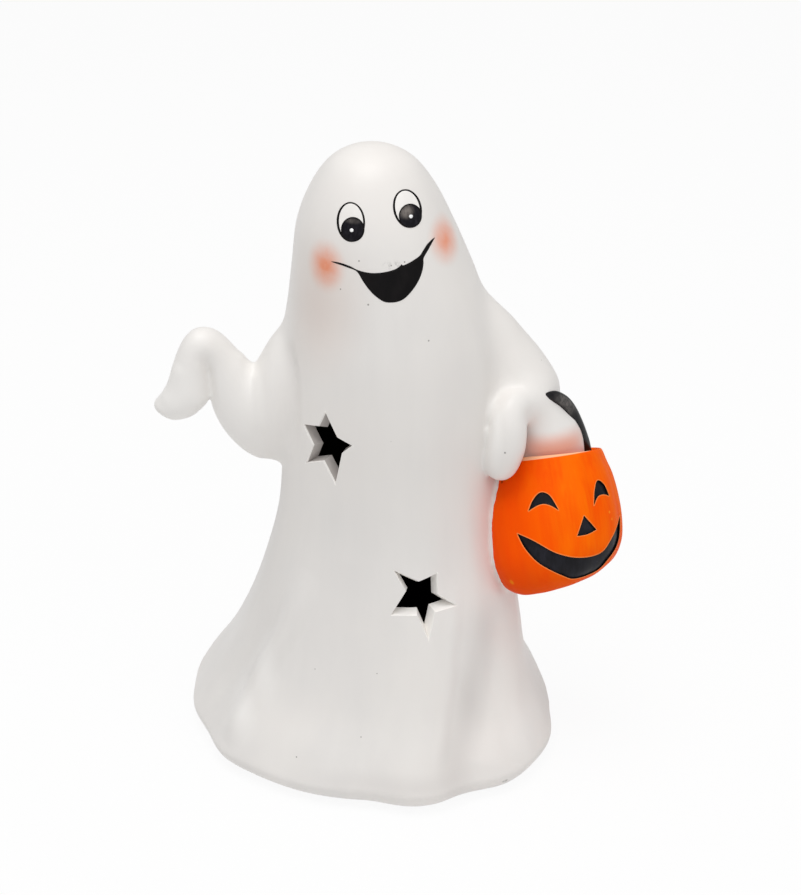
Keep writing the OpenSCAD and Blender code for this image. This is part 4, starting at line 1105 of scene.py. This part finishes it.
abs_white = moulded("moulded_white_plastic", rgb(232, 231, 226), 0.42)
cad_mats = {
    "light_housing": abs_white, "light_cover": abs_white, "battery_door": abs_white,
    "light_dome": moulded("frosted_dome_plastic", rgb(238, 236, 226), 0.55, 0.05),
    "led_lamp": moulded("lamp_epoxy", rgb(236, 226, 176), 0.12, 0.02),
    "circuit_board": moulded("green_board", rgb(24, 96, 52), 0.35),
    "resistor": moulded("tan_enamel", rgb(196, 164, 120), 0.3),
    "switch_case": moulded("black_switch_plastic", rgb(30, 30, 32), 0.45),
    "switch_knob": moulded("black_knob_plastic", rgb(22, 22, 24), 0.38),
    "batteries": metal("cell_jacket", rgb(176, 178, 182), 0.3),
    "contact_springs": metal("spring_steel", rgb(196, 196, 196), 0.25),
    "contact_plates": metal("plated_steel", rgb(206, 198, 180), 0.28),
    "lead_wires": moulded("red_insulation", rgb(170, 24, 18), 0.35),
    "grip_ring": moulded("grey_rubber", rgb(58, 58, 60), 0.8, 0.2),
    "cover_screws": metal("plated_screw", rgb(200, 198, 190), 0.25),
    "foot_pads": moulded("pad_foam", rgb(70, 70, 72), 0.9, 0.35)}
for name, mat in cad_mats.items():
    dress(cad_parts[name], mat)

# Ownership
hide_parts("ghost_body", "raised_arm", "bucket_arm")
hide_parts("pumpkin_bucket")
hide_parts("bucket_handle")
for kind, objs in coats.items():
    for o in objs:
        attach(o, "figure")
for o in (ghost, pumpkin, strap):
    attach(o, "figure")


# Floor, light and camera

def floor_material():
    n = Nodes("studio_floor")
    n.surface(rgb(240, 240, 240), 0.9, 0.1)
    glow = n.add("ShaderNodeEmission", {"Strength": 1.0}).outputs[0]
    rays = n.add("ShaderNodeLightPath").outputs
    seen = n.math("MAXIMUM", rays["Is Camera Ray"], rays["Is Glossy Ray"])
    mix = n.add("ShaderNodeMixShader", {0: n.times(seen, 0.92), 1: n.shader.outputs[0], 2: glow})
    n.put(n.tree.nodes["Material Output"].inputs[0], mix.outputs[0])
    return n.mat


FLOOR_SIZE = 6000.0
floor = make("studio_floor", [(x * FLOOR_SIZE, y * FLOOR_SIZE, 0)
                              for x, y in ((-1, -1), (1, -1), (1, 1), (-1, 1))],
             [(0, 1, 2, 3)], smooth=False)
dress(floor, floor_material())

LAMP_AIM = Vector((0, 0, 0.12))


def area(name, place, size, power):
    data = bpy.data.lights.new(name, "AREA")
    data.shape, data.size, data.energy = "DISK", size, power
    obj = linked(name, data)
    obj.location = place
    obj.rotation_euler = (LAMP_AIM - Vector(place)).to_track_quat("-Z", "Y").to_euler()


area("overhead", (-0.16, -0.2, 1.58), 1.1, 12.2)
area("fill", (0.8, -0.8, 0.95), 0.7, 1.7)
area("front", (0.0, -1.0, 0.75), 0.5, 0.9)

world = bpy.data.worlds.new("studio")
bpy.context.scene.world = world
world.use_nodes = True
nodes, links = world.node_tree.nodes, world.node_tree.links
rays, seen = nodes.new("ShaderNodeLightPath").outputs, nodes.new("ShaderNodeMath")
seen.operation = "MAXIMUM"
links.new(rays["Is Camera Ray"], seen.inputs[0])
links.new(rays["Is Transmission Ray"], seen.inputs[1])
level = nodes.new("ShaderNodeMapRange")
level.inputs["To Min"].default_value = 0.5
links.new(seen.outputs[0], level.inputs["Value"])
links.new(level.outputs["Result"], nodes["Background"].inputs["Strength"])
nodes["Background"].inputs["Color"].default_value = (1, 1, 1, 1)

SENSOR_W = 36
lens = bpy.data.cameras.new("camera")
lens.sensor_fit = "HORIZONTAL"
lens.sensor_width = SENSOR_W
lens.lens = FOCAL_PX / IMAGE_W * SENSOR_W
lens.clip_start = 0.01
camera = linked("camera", lens)
camera.location = CAM_AT * MM
camera.rotation_euler = (math.pi / 2 - CAM_ELEVATION, 0, 0)
bpy.context.scene.camera = camera
bpy.context.scene.view_settings.view_transform = "Standard"
